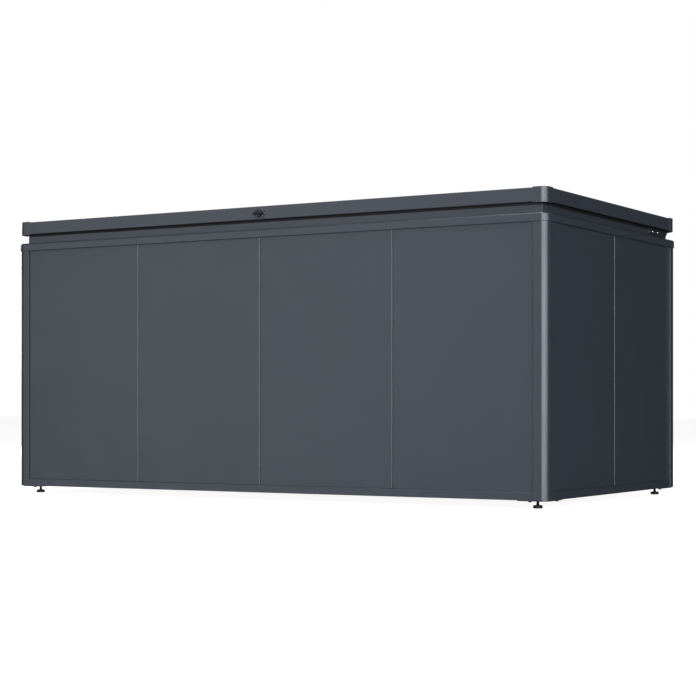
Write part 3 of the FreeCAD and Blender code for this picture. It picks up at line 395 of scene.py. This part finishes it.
def plated_steel_group():
    """Plated or bare steel: crystal patches in the tone and fine drawing lines in the gloss."""
    group, given, out = new_group("plated steel", [
        ("Colour", "NodeSocketColor", ZINC_GREY), ("Gloss low", "NodeSocketFloat", 0.25),
        ("Gloss high", "NodeSocketFloat", 0.45), ("Patches", "NodeSocketFloat", 260.0),
        ("Lines", "NodeSocketFloat", 0.15),
    ])
    place = group.nodes.new("ShaderNodeTexCoord").outputs["Object"]
    patches = group.nodes.new("ShaderNodeTexVoronoi")
    group.links.new(place, patches.inputs["Vector"])
    group.links.new(given.outputs["Patches"], patches.inputs["Scale"])
    grey = group.nodes.new("ShaderNodeRGBToBW")
    group.links.new(patches.outputs["Color"], grey.inputs["Color"])
    tone = between(group, grey.outputs["Val"], 0.9, 1.06, 0.2, 0.8)
    group.links.new(toned(group, given.outputs["Colour"], tone), out.inputs["Colour"])
    drawn = group.nodes.new("ShaderNodeMapping")
    drawn.inputs["Scale"].default_value = DRAWN_SCALE
    group.links.new(place, drawn.inputs["Vector"])
    lines = noise(group, drawn.outputs["Vector"], 1)
    dull = between(group, lines, given.outputs["Gloss low"], given.outputs["Gloss high"])
    group.links.new(dull, out.inputs["Roughness"])
    scored = relief(group, lines, given.outputs["Lines"], DRAWN_DEPTH)
    group.links.new(scored, out.inputs["Normal"])
    return group


def moulding_group():
    """Moulded rubber and plastic: spark-eroded grain with patches that have gone dull."""
    group, given, out = new_group("moulding", [
        ("Colour", "NodeSocketColor", RUBBER_BLACK), ("Gloss low", "NodeSocketFloat", 0.5),
        ("Gloss high", "NodeSocketFloat", 0.7), ("Grain", "NodeSocketFloat", 0.3),
    ])
    place = group.nodes.new("ShaderNodeTexCoord").outputs["Object"]
    patches = noise(group, place, WORN_SCALE, 3, 0.6)
    tone = between(group, patches, 0.85, 1.25)
    group.links.new(toned(group, given.outputs["Colour"], tone), out.inputs["Colour"])
    dull = between(group, patches, given.outputs["Gloss low"], given.outputs["Gloss high"])
    group.links.new(dull, out.inputs["Roughness"])
    sparks = noise(group, place, GRAIN_SCALE, 2, 0.6)
    grain = relief(group, sparks, given.outputs["Grain"], GRAIN_DEPTH)
    group.links.new(grain, out.inputs["Normal"])
    return group


POWDER_COAT = powder_coat_group()
PLATED_STEEL = plated_steel_group()
MOULDING = moulding_group()


def finish(name, group, metallic=0.0, specular=0.5, coat=0.0, **values):
    """A material whose colour, gloss and relief come from one of the groups."""
    material = bpy.data.materials.new(name)
    material.use_nodes = True
    tree = material.node_tree
    surface = tree.nodes["Principled BSDF"]
    grain = tree.nodes.new("ShaderNodeGroup")
    grain.node_tree = group
    for label, value in values.items():
        grain.inputs[label.replace("_", " ").capitalize()].default_value = value
    tree.links.new(grain.outputs["Colour"], surface.inputs["Base Color"])
    tree.links.new(grain.outputs["Roughness"], surface.inputs["Roughness"])
    tree.links.new(grain.outputs["Normal"], surface.inputs["Normal"])
    surface.inputs["Metallic"].default_value = metallic
    surface.inputs["Specular IOR Level"].default_value = specular
    surface.inputs["Coat Weight"].default_value = coat
    surface.inputs["Coat Roughness"].default_value = COAT_GLOSS
    material.diffuse_color = values["colour"]
    return material


COATED_PROFILE = finish(
    "coated profile", POWDER_COAT, colour=ANTHRACITE,
    gloss_low=0.29, gloss_high=0.36, peel=0.18)
COATED_SHEET = finish(
    "coated sheet", POWDER_COAT, colour=ANTHRACITE,
    gloss_low=0.31, gloss_high=0.36, peel=0.2, waves=0.012)
COATED_INSIDE = finish(
    "coated floor and lid inside", POWDER_COAT, colour=INNER_GREY,
    gloss_low=0.42, gloss_high=0.56, peel=0.3, waves=0.05)
COATED_HINGE = finish(
    "coated hinge steel", POWDER_COAT, colour=HINGE_GREY,
    gloss_low=0.3, gloss_high=0.42, peel=0.2)
LOCK_FINISH = finish(
    "satin black lock knob", POWDER_COAT, specular=0.4, colour=LOCK_BLACK,
    gloss_low=0.14, gloss_high=0.22, peel=0.05)
LOCK_PLATE = finish(
    "satin grey lock plate", POWDER_COAT, colour=LOCK_GREY,
    gloss_low=0.22, gloss_high=0.3, peel=0.08)
TUBE_PAINT = finish(
    "painted spring tube", POWDER_COAT, coat=0.4, colour=TUBE_BLACK,
    gloss_low=0.16, gloss_high=0.26, peel=0.06)
ZINC_PLATE = finish(
    "zinc plated steel", PLATED_STEEL, metallic=1.0, colour=ZINC_GREY,
    gloss_low=0.3, gloss_high=0.5, patches=260.0, lines=0.15)
BRIGHT_STEEL = finish(
    "bright steel", PLATED_STEEL, metallic=1.0, colour=STEEL_GREY,
    gloss_low=0.15, gloss_high=0.28, patches=900.0, lines=0.1)
HARD_CHROME = finish(
    "hard chrome", PLATED_STEEL, metallic=1.0, colour=CHROME_GREY,
    gloss_low=0.04, gloss_high=0.09, patches=500.0, lines=0.03)
SEAL_RUBBER = finish(
    "seal rubber", MOULDING, specular=0.35, colour=RUBBER_BLACK,
    gloss_low=0.55, gloss_high=0.75, grain=0.4)
BLACK_STEEL = finish(
    "blackened steel", PLATED_STEEL, metallic=1.0, colour=BLACKENED,
    gloss_low=0.32, gloss_high=0.5, patches=700.0, lines=0.12)
MOULDED_PLASTIC = finish(
    "moulded black plastic", MOULDING, specular=0.15, colour=FOOT_BLACK,
    gloss_low=0.36, gloss_high=0.52, grain=0.3)

FINISH_OF_SLOT = {
    "coated_sheet": COATED_SHEET, "coated_profile": COATED_PROFILE, "floor_steel": COATED_INSIDE,
    "coated_steel": COATED_HINGE, "seal_rubber": SEAL_RUBBER, "bright_steel": BRIGHT_STEEL,
    "zinc_steel": ZINC_PLATE, "cylinder_black": TUBE_PAINT, "rod_chrome": HARD_CHROME,
    "lock_black": LOCK_FINISH, "foot_plastic": MOULDED_PLASTIC,
}


def wear(piece, material):
    """Give a piece one material all over."""
    piece.data.materials.clear()
    piece.data.materials.append(material)
    return piece


def take_over(piece, node, worn=False):
    """Let a finished piece stand for its CAD node, on the same body."""
    if not worn:
        wear(piece, FINISH_OF_SLOT[SLOT_OF[node]])
    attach(piece, BODY_OF[node])
    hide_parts(node)


# Folded sheet, drawn profiles and pressed steel: the solids with their edges eased

def from_solid(node):
    """The node's own shape as a new piece, its triangles merged into whole faces."""
    piece = bpy.data.objects.new(node + "_finished", NODES[node].data.copy())
    bpy.context.scene.collection.objects.link(piece)
    edit(piece)
    bpy.ops.mesh.remove_doubles(threshold=SOLID_WELD)
    bpy.ops.mesh.dissolve_limited(angle_limit=math.radians(LEVEL_FACES))
    close()
    return piece


def eased(node, width):
    """The node's own shape with its edges rounded."""
    piece = from_solid(node)
    ease(piece, width)
    shade(piece)
    take_over(piece, node)


# Width of the eased edges in mm, by how the nodes' names start
EDGE_OF = {
    "post_": 0.5, "bottom_rail_": 0.5, "top_rail_": 0.45, "top_frame_corners": 0.5,
    "lid_rail_": 0.5, "lid_corners": 0.5, "lid_top": 0.3, "lid_stiffeners": 0.5,
    "floor_sheet_": 0.3, "floor_beams": 0.5, "hinge_plate_": 0.4, "lid_arm_": 0.4,
    "foot_plates": 0.4, "lid_spring_brackets": 0.4, "spring_anchors": 0.4,
    "lock_striker": 0.3, "lock_nut": 0.4, "lock_cam": 0.3,
}


def ease_profiles_and_steel():
    """Posts, rails, castings, plates and brackets, each with its own width of edge."""
    for node in NODES:
        for start, width in EDGE_OF.items():
            if node.startswith(start):
                eased(node, width * MM)


FOLD_REACH = 2.6 * MM       # a fold's points lie within this of its corner line
FOLD_DRAW = 0.55            # how far they are drawn in towards it
FOLD_SLACK = 0.35 * MM      # room left beside each fold, so that joints show as a line
FOLD_ROUND, FOLD_STEPS = 0.6 * MM, 4
UPRIGHT = 0.5               # a panel's upright edges are longer than this, in metres
LIP_EASE, LIP_ANGLE = 0.25 * MM, 50


def fold_panels():
    """Tray panels: the bevelled folds of the solids are drawn in and rolled into tight bends."""
    for node in NODES:
        if "_panel_" in node:
            piece = from_solid(node)
            low, high = (Vector(corner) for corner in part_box(node))
            wide, deep = (0, 1) if high.x - low.x > high.y - low.y else (1, 0)
            face = max(low[deep], high[deep], key=abs)
            for end, inwards in ((low, 1), (high, -1)):
                fold, slack = Vector((0, 0, 0)), Vector((0, 0, 0))
                fold[wide], fold[deep] = end[wide], face
                slack[wide] = inwards * FOLD_SLACK
                tighten_fold(piece, fold, slack)
            ease(piece, LIP_EASE, 2, LIP_ANGLE)
            shade(piece)
            take_over(piece, node)


def tighten_fold(piece, fold, slack):
    """Draw one fold in towards its corner line, shift it by the slack and round it."""
    def near(vert):
        return max(abs(vert.co.x - fold.x), abs(vert.co.y - fold.y)) < FOLD_REACH

    def upright(edge):
        first, last = edge.verts
        return near(first) and near(last) and abs(first.co.z - last.co.z) > UPRIGHT

    pick(piece, "verts", near)
    bpy.ops.transform.resize(value=(FOLD_DRAW, FOLD_DRAW, 1), center_override=fold)
    bpy.ops.transform.translate(value=slack)
    close()
    pick(piece, "edges", upright)
    bpy.ops.mesh.bevel(
        offset=FOLD_ROUND, offset_type="OFFSET", segments=FOLD_STEPS, clamp_overlap=False)
    close()


# Rubber seal round the upstand's lip

# Its outline as (inset, height) in mm: outer leg with a groove, bulb on top, inner leg
SEAL_SECTION = [
    (0.5, 799.3), (0.0, 799.9), (0.0, 803.6), (0.5, 804.0), (0.5, 804.6), (0.0, 805.0),
    (0.0, 829.6), (0.6, 830.7), (1.5, 831.3), (0.95, 832.4), (0.75, 834.4), (1.0, 836.4),
    (1.9, 837.7), (3.2, 838.15), (4.5, 837.7), (5.4, 836.4), (5.65, 834.4), (5.45, 832.4),
    (4.9, 831.3), (5.8, 830.7), (6.4, 829.6), (6.4, 816.6), (6.0, 816.0), (4.2, 816.0),
    (4.2, 828.0), (2.2, 828.0), (2.2, 799.3),
]
WINDOW_GAP = 0.3 * MM       # all round the striker, where it comes through the seal
WINDOW_DEPTH = 4 * MM
WINDOW_INSET = 0.2 * MM
SEAL_ANGLE = 40             # degrees: the bulb's facets are smoothed, its grooves stay sharp


def lid_seal():
    """Seal with a bulb, mitred at the corners, with a window for the striker."""
    low, high = (Vector(corner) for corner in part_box("lid_seal"))
    section = [(inset * MM, height * MM) for inset, height in SEAL_SECTION]
    seal = framed("lid_seal_finished", section, high.x, high.y)
    strike_low, strike_high = (Vector(corner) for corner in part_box("lock_striker"))
    deselect()
    bpy.ops.mesh.primitive_cube_add(size=1)
    window = start_piece("striker_window")
    window.scale = (
        strike_high.x - strike_low.x + 2 * WINDOW_GAP, WINDOW_DEPTH,
        strike_high.z - strike_low.z + 2 * WINDOW_GAP)
    window.location = (
        (strike_low.x + strike_high.x) / 2, low.y + WINDOW_INSET,
        (strike_low.z + strike_high.z) / 2)
    combine(seal, settle(window))
    shade(seal, SEAL_ANGLE)
    take_over(seal, "lid_seal")


# Rotary lock: drawn on the bench with the lid's face at height 0

PLATE_LENGTH, PLATE_WIDTH, PLATE_DEPTH = 40 * MM, 26 * MM, 2.5 * MM
PLATE_EDGE, PLATE_EDGE_STEPS = 1.1 * MM, 4
BARREL_RADIUS = 6.0 * MM
BORE_RADIUS = 3.6 * MM
SHAFT_RADIUS, SHAFT_END = 3.5 * MM, -6.2 * MM
SQUARE_ACROSS = 4.6 * MM        # the shaft's square end, which carries the cam
GRIP_LENGTH, GRIP_WIDTH = 34 * MM, 8 * MM
GRIP_FOOT, GRIP_FACE = 2.8 * MM, 11.8 * MM
GRIP_TAPER = (0.93, 0.76, 1)    # how much of its foot's size the grip's face has
GRIP_EDGE, GRIP_EDGE_STEPS = 2.3 * MM, 6
KNOB_EASE, KNOB_EASE_STEPS, KNOB_EASE_ANGLE = 0.35 * MM, 3, 35


def looks_out(face):
    """Whether a face lies flat on the lock's front, on the bench."""
    return face.normal.z > FACING


def on_lock(piece):
    """From the bench, where Z is the lock's axis, to the front of the lid."""
    return settle(piece, move(*JOINTS["lock_turn"]["pos_m"]) @ turn(90, "X"))


def lock_escutcheon():
    """Plate with round ends and a shallow dish, the barrel behind it and the bore through both."""
    plate = slot_block(
        "lock_escutcheon_finished", PLATE_LENGTH, PLATE_WIDTH, 0, PLATE_DEPTH, MANY)
    pick(plate, "faces", looks_out)
    bpy.ops.mesh.bevel(offset=PLATE_EDGE, segments=PLATE_EDGE_STEPS, clamp_overlap=False)
    close()
    barrel = turned("lock_barrel", [
        (5.4 * MM, -6.2 * MM), (BARREL_RADIUS, -5.6 * MM), (BARREL_RADIUS, 1.0 * MM),
    ], SOME)
    combine(plate, barrel, "UNION")
    dish = turned("escutcheon_dish", [(11.3 * MM, 2.1 * MM), (11.6 * MM, 3.0 * MM)], MANY)
    combine(plate, dish)
    bore = turned("lock_bore", [(BORE_RADIUS, -8 * MM), (BORE_RADIUS, 4 * MM)], SOME)
    combine(plate, bore)
    shade(plate)
    take_over(wear(on_lock(plate), LOCK_PLATE), "lock_escutcheon", worn=True)


def lock_knob():
    """Turned base, a wing grip that thins towards its face, and the shaft to the cam."""
    base = turned("lock_knob_finished", [
        (10.7 * MM, 2.8 * MM), (11.0 * MM, 3.1 * MM), (11.0 * MM, 5.4 * MM), (10.7 * MM, 6.2 * MM),
        (9.8 * MM, 6.7 * MM), (8.0 * MM, 6.8 * MM),
    ], MANY)
    grip = slot_block("wing_grip", GRIP_LENGTH, GRIP_WIDTH, GRIP_FOOT, GRIP_FACE, SOME)
    pick(grip, "faces", looks_out)
    bpy.ops.transform.resize(value=GRIP_TAPER)
    bpy.ops.mesh.bevel(offset=GRIP_EDGE, segments=GRIP_EDGE_STEPS, clamp_overlap=False)
    close()
    combine(base, grip, "UNION")
    ease(base, KNOB_EASE, KNOB_EASE_STEPS, KNOB_EASE_ANGLE)
    shaft = turned("lock_shaft", [(SHAFT_RADIUS, 3.5 * MM), (SHAFT_RADIUS, SHAFT_END)], SOME)
    square = prism("shaft_square", 4, SQUARE_ACROSS, -9.0 * MM, -6.0 * MM)
    settle(square, turn(45, "Z"))
    knob = join("lock_knob_finished", [base, shaft, square])
    shade(knob)
    take_over(on_lock(knob), "lock_knob")


# Screws, pins and feet

BUTTON_RADIUS, BUTTON_HEIGHT = 4.5 * MM, 2.6 * MM
SOCKET_ACROSS, SOCKET_FLOOR = 4 * MM, 1.2 * MM
PIN_HEAD_ACROSS, PIN_HEAD_DEPTH = 10 * MM, 2.5 * MM
FOOT_HEAD_ACROSS = 8 * MM
FOOT_SCREW_ALONG = 80 * MM      # from the screw on one leg of a foot plate to the other, in Y
FOOT_SCREW_ACROSS = 41 * MM     # the same in X

# Degrees a screw is turned for each metre along its row, so that no two stand alike
HINGE_SCREW_TURNS, FOOT_SCREW_TURNS = 2000, 9000
HINGE_SCREW_START = 17


def hinge_screws():
    """Button heads with a hexagon socket, two on each hinge plate, each turned its own way."""
    head = turned("button_head", [
        (4.25 * MM, 0), (BUTTON_RADIUS, 0.25 * MM), (BUTTON_RADIUS, 0.9 * MM),
        (4.35 * MM, 1.4 * MM), (3.95 * MM, 1.9 * MM), (3.4 * MM, 2.3 * MM),
        (2.8 * MM, 2.52 * MM), (2.5 * MM, BUTTON_HEIGHT),
    ], SOME)
    combine(head, prism("hexagon_socket", 6, SOCKET_ACROSS, SOCKET_FLOOR, 4 * MM))
    low, high = (Vector(corner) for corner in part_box("hinge_screws"))
    height = (low.z + high.z) / 2
    screws = []
    for side in (-1, 1):
        seat = side * (high.x - BUTTON_HEIGHT)
        for y in (low.y + BUTTON_RADIUS, high.y - BUTTON_RADIUS):
            place = move(seat, y, height) @ turn(90 * side, "Y")
            angle = HINGE_SCREW_START * side + HINGE_SCREW_TURNS * y
            screws.append(twin(head, place @ turn(angle, "Z")))
    bpy.data.objects.remove(head)
    screws = join("hinge_screws_finished", screws)
    shade(screws)
    take_over(screws, "hinge_screws")


def hinge_pins():
    """Pins with chamfered hexagon heads."""
    shank = turned("hinge_pin", [
        (3.6 * MM, -9.6 * MM), (4.0 * MM, -9.1 * MM), (4.0 * MM, -2.4 * MM),
    ], SOME)
    head = prism("pin_head", 6, PIN_HEAD_ACROSS, -PIN_HEAD_DEPTH, 0)
    crown = turned("crown", [(5.9 * MM, -2.7 * MM), (5.9 * MM, -0.6 * MM), (5.0 * MM, 0)], SOME)
    combine(head, crown, "INTERSECT")
    pin = join("hinge_pin", [head, shank])
    low, high = (Vector(corner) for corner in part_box("hinge_pins"))
    centre = (low + high) / 2
    pins = [
        twin(pin, move(side * high.x, centre.y, centre.z) @ turn(90 * side, "Y"))
        for side in (-1, 1)
    ]
    bpy.data.objects.remove(pin)
    pins = join("hinge_pins_finished", pins)
    shade(pins)
    take_over(pins, "hinge_pins")


def foot_screws():
    """Hexagon heads with a washer face and a chamfered crown, hanging under the foot plates."""
    head = prism("foot_screw_head", 6, FOOT_HEAD_ACROSS, 0.4 * MM, 3 * MM)
    crown = turned("crown", [
        (4.7 * MM, 0.2 * MM), (4.7 * MM, 2.5 * MM), (3.9 * MM, 3.1 * MM),
    ], SOME)
    combine(head, crown, "INTERSECT")
    washer = turned("washer_face", [(3.9 * MM, 0), (3.9 * MM, 0.5 * MM)], SOME)
    head = join("foot_screw_head", [head, washer])
    high = Vector(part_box("foot_screws")[1])
    flat = FOOT_HEAD_ACROSS / 2
    far_x, far_y = high.x - flat, high.y - flat / math.cos(math.radians(30))
    screws = []
    for x, y in ((far_x, far_y - FOOT_SCREW_ALONG), (far_x - FOOT_SCREW_ACROSS, far_y)):
        for side in (-1, 1):
            for end in (-1, 1):
                place = move(side * x, end * y, high.z) @ turn(180, "X")
                screws.append(twin(head, place @ turn(FOOT_SCREW_TURNS * x, "Z")))
    bpy.data.objects.remove(head)
    screws = join("foot_screws_finished", screws)
    shade(screws)
    take_over(screws, "foot_screws")


THREAD_PITCH = 1.25 * MM
THREAD_ROOT, THREAD_CREST = 3.4 * MM, 3.95 * MM
THREAD_START, THREAD_END = 9.0 * MM, 31 * MM
CREST_FROM, CREST_TO = 0.45, 0.6    # where in each pitch its crest lies


def levelling_feet():
    """Moulded disc with a hub round a threaded stem, one under each corner."""
    disc = turned("foot_disc", [
        (11.7 * MM, 0), (12.3 * MM, 0.3 * MM), (12.5 * MM, 0.9 * MM), (12.5 * MM, 6.9 * MM),
        (12.3 * MM, 7.6 * MM), (11.7 * MM, 8.0 * MM), (5.9 * MM, 8.0 * MM), (5.5 * MM, 8.2 * MM),
        (5.3 * MM, 9.2 * MM), (5.0 * MM, 9.6 * MM), (4.4 * MM, 9.8 * MM),
    ], MANY)
    wear(disc, MOULDED_PLASTIC)
    ridges = []
    height = THREAD_START
    while height + THREAD_PITCH < THREAD_END:
        ridges += [
            (THREAD_ROOT, height), (THREAD_CREST, height + CREST_FROM * THREAD_PITCH),
            (THREAD_CREST, height + CREST_TO * THREAD_PITCH),
        ]
        height += THREAD_PITCH
    stem = turned("foot_stem", [(THREAD_ROOT, 7 * MM)] + ridges + [(3.3 * MM, 32 * MM)], FEW)
    wear(stem, BLACK_STEEL)
    foot = join("levelling_foot", [disc, stem])
    for node in NODES:
        if node.startswith("levelling_foot_"):
            low, high = (Vector(corner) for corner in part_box(node))
            piece = twin(foot, move((low.x + high.x) / 2, (low.y + high.y) / 2, low.z))
            piece.name = piece.data.name = node + "_finished"
            shade(piece)
            take_over(piece, node, worn=True)
    bpy.data.objects.remove(foot)


# Gas springs, drawn with the stud at the origin and the far end down -Z

# An eye's outline as (radius, height) in mm, back to its first pair
EYE_SECTION = [
    (4.05, -4.6), (4.4, -5.0), (7.5, -5.0), (8.0, -4.5), (8.0, 4.5), (7.5, 5.0), (4.4, 5.0),
    (4.05, 4.6), (4.05, -4.6),
]
EYE_RADIUS = 8 * MM


def spring_eye(name):
    """Plastic eye with its bore along X."""
    section = [(radius * MM, height * MM) for radius, height in EYE_SECTION]
    eye = turned(name, section, SOME, through=True)
    return wear(settle(eye, turn(90, "Y")), MOULDED_PLASTIC)


def gas_springs():
    """On each side a cylinder that hangs from the lid's stud, and the rod that slides in it."""
    for side in ("left", "right"):
        sign = -1 if side == "left" else 1
        stud = Vector(JOINTS[f"gas_cylinder_{side}_swing"]["pos_m"])
        slide = Vector(JOINTS[f"gas_rod_{side}_slide"]["axis"])
        place = move(*stud) @ turn(math.degrees(math.atan2(slide.y, -slide.z)), "X")
        neck = wear(turned("cylinder_neck", [
            (4.0 * MM, -7.7 * MM), (4.0 * MM, -11.2 * MM), (5.6 * MM, -11.5 * MM),
            (5.9 * MM, -12.0 * MM), (5.9 * MM, -14.2 * MM),
        ], FEW), ZINC_PLATE)
        tube = wear(turned("cylinder_tube", [
            (7.6 * MM, -14.0 * MM), (8.8 * MM, -14.25 * MM), (9.7 * MM, -15.0 * MM),
            (10.0 * MM, -16.4 * MM), (10.0 * MM, -158.6 * MM), (9.75 * MM, -159.4 * MM),
            (9.3 * MM, -160.0 * MM), (9.3 * MM, -161.6 * MM), (9.75 * MM, -162.2 * MM),
            (10.0 * MM, -163.0 * MM), (10.0 * MM, -167.6 * MM), (9.6 * MM, -169.0 * MM),
            (8.6 * MM, -169.8 * MM), (7.4 * MM, -170.0 * MM), (4.6 * MM, -170.0 * MM),
            (4.1 * MM, -169.6 * MM), (4.1 * MM, -25.0 * MM),
        ], MANY), TUBE_PAINT)
        cylinder = join(
            f"gas_cylinder_{side}_finished", [spring_eye("cylinder_eye"), neck, tube])
        settle(cylinder, place)
        shade(cylinder)
        take_over(cylinder, f"gas_cylinder_{side}", worn=True)
        gas_rod(f"gas_rod_{side}", sign, stud, place)


def gas_rod(node, sign, stud, place):
    """Chrome rod with an eye that turns on the anchor's stud, as far down as the node's foot."""
    low, high = (Vector(corner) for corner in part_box(node))
    span = (Vector((stud.x, high.y - EYE_RADIUS, low.z + EYE_RADIUS)) - stud).length
    reach = max(abs(low.x), abs(high.x)) - abs(stud.x)
    rod = wear(turned("chrome_rod", [
        (3.6 * MM, -span + 7.6 * MM), (4.0 * MM, -span + 8.2 * MM), (4.0 * MM, -38.5 * MM),
        (3.5 * MM, -38.0 * MM),
    ], SOME), HARD_CHROME)
    collar = wear(turned("rod_collar", [
        (5.2 * MM, -span + 7.4 * MM), (5.6 * MM, -span + 7.8 * MM), (5.6 * MM, -span + 11.0 * MM),
        (5.2 * MM, -span + 11.5 * MM),
    ], FEW), ZINC_PLATE)
    eye = settle(spring_eye("rod_eye"), move(0, 0, -span))
    pin = wear(turned("rod_stud", [
        (3.7 * MM, -5.4 * MM), (4.0 * MM, -5.1 * MM), (4.0 * MM, reach - 0.4 * MM),
        (3.6 * MM, reach),
    ], SOME), ZINC_PLATE)
    settle(pin, move(0, 0, -span) @ turn(90 * sign, "Y"))
    piece = join(node + "_finished", [rod, collar, eye, pin])
    settle(piece, place)
    shade(piece)
    take_over(piece, node, worn=True)


# Dress every node

ease_profiles_and_steel()
fold_panels()
lid_seal()
lock_escutcheon()
lock_knob()
hinge_screws()
hinge_pins()
foot_screws()
levelling_feet()
gas_springs()


# Studio

FLOOR_SIZE, FLOOR_DROP = 60, 0.0002
PAPER_GREY = (0.3, 0.3, 0.3, 1)
PAPER_SEEN = 0.93       # how bright the paper looks to the camera
AIR_SEEN = 1.0          # and the air behind the box
ROOM_GLOW = 0.045       # what the room adds to the light
AIM = (0, 0, 0.45)      # where all softboxes point

# Rectangles of light: azimuth, elevation, distance, (width, height), radiance
SOFTBOXES = {
    "front softbox": (27, 5, 6.5, (4.8, 4.0), 6.9),
    "corner softbox": (62, 4, 6.5, (5.3, 2.8), 6.1),
    "left sheen": (-33, 8, 6.5, (3.9, 5.0), 1.3),
    "high front softbox": (-15, 50, 6.0, (3.0, 1.5), 7.0),
    "back softbox": (226, 12, 6.5, (4.4, 2.6), 13.0),
    "overhead softbox": (-10, 80, 6.0, (2.4, 2.4), 12.0),
}

# The photograph's camera, solved from the box's edges
CAMERA_PLACE = (2.779, -4.6568, 0.2702)
CAMERA_PITCH, CAMERA_AZIMUTH = 90, 30.694
CAMERA_SENSOR, CAMERA_LENS, CAMERA_SHIFT = 36, 90.49, 0.0833
CAMERA_SIGHT = 200


def camera_only(tree, seen, elsewhere):
    """One value where the camera looks straight at something, and another in its light."""
    sight = tree.nodes.new("ShaderNodeLightPath")
    strength = tree.nodes.new("ShaderNodeMapRange")
    strength.inputs["To Min"].default_value = elsewhere
    strength.inputs["To Max"].default_value = seen
    tree.links.new(sight.outputs["Is Camera Ray"], strength.inputs["Value"])
    return strength.outputs["Result"]


def studio_floor():
    """Pale paper under the feet, which catches the box's shade and throws none."""
    deselect()
    bpy.ops.mesh.primitive_plane_add(size=FLOOR_SIZE, location=(0, 0, -FLOOR_DROP))
    floor = start_piece("studio_floor")
    settle(floor)
    paper = bpy.data.materials.new("pale paper")
    paper.use_nodes = True
    tree = paper.node_tree
    surface = tree.nodes["Principled BSDF"]
    surface.inputs["Base Color"].default_value = PAPER_GREY
    surface.inputs["Roughness"].default_value = 0.9
    surface.inputs["Specular IOR Level"].default_value = 0.0
    surface.inputs["Emission Color"].default_value = WHITE
    tree.links.new(camera_only(tree, PAPER_SEEN, 0.0), surface.inputs["Emission Strength"])
    wear(floor, paper)
    floor.visible_glossy = False
    floor.visible_shadow = False


def studio_air():
    """White behind the box, and a dim room round it."""
    world = bpy.data.worlds.new("studio air")
    bpy.context.scene.world = world
    world.use_nodes = True
    room = world.node_tree.nodes["Background"]
    room.inputs["Color"].default_value = WHITE
    strength = camera_only(world.node_tree, AIR_SEEN, ROOM_GLOW)
    world.node_tree.links.new(strength, room.inputs["Strength"])


def softbox(name, azimuth, elevation, distance, size, radiance):
    """Rectangle of even light, hung round the box: azimuth 0 is its front, 90 its right side."""
    lamp = bpy.data.lights.new(name, "AREA")
    lamp.shape = "RECTANGLE"
    lamp.size, lamp.size_y = size
    lamp.energy = radiance * math.pi * size[0] * size[1]
    lamp.color = DAYLIGHT
    holder = bpy.data.objects.new(name, lamp)
    bpy.context.scene.collection.objects.link(holder)
    aim = Vector(AIM)
    way = turn(azimuth, "Z") @ turn(-elevation, "X") @ Vector((0, -distance, 0))
    holder.location = aim + way
    holder.rotation_euler = (aim - holder.location).to_track_quat("-Z", "Y").to_euler()
    holder.visible_camera = False


def photo_camera():
    """Where the photograph was taken from, low and level."""
    lens = bpy.data.cameras.new("photo camera")
    lens.sensor_width = CAMERA_SENSOR
    lens.lens = CAMERA_LENS
    lens.shift_y = CAMERA_SHIFT
    lens.clip_end = CAMERA_SIGHT
    camera = bpy.data.objects.new("photo camera", lens)
    bpy.context.scene.collection.objects.link(camera)
    camera.location = CAMERA_PLACE
    camera.rotation_euler = (math.radians(CAMERA_PITCH), 0, math.radians(CAMERA_AZIMUTH))
    bpy.context.scene.camera = camera


studio_floor()
studio_air()
for name, values in SOFTBOXES.items():
    softbox(name, *values)
photo_camera()
bpy.context.scene.view_settings.view_transform = "Standard"
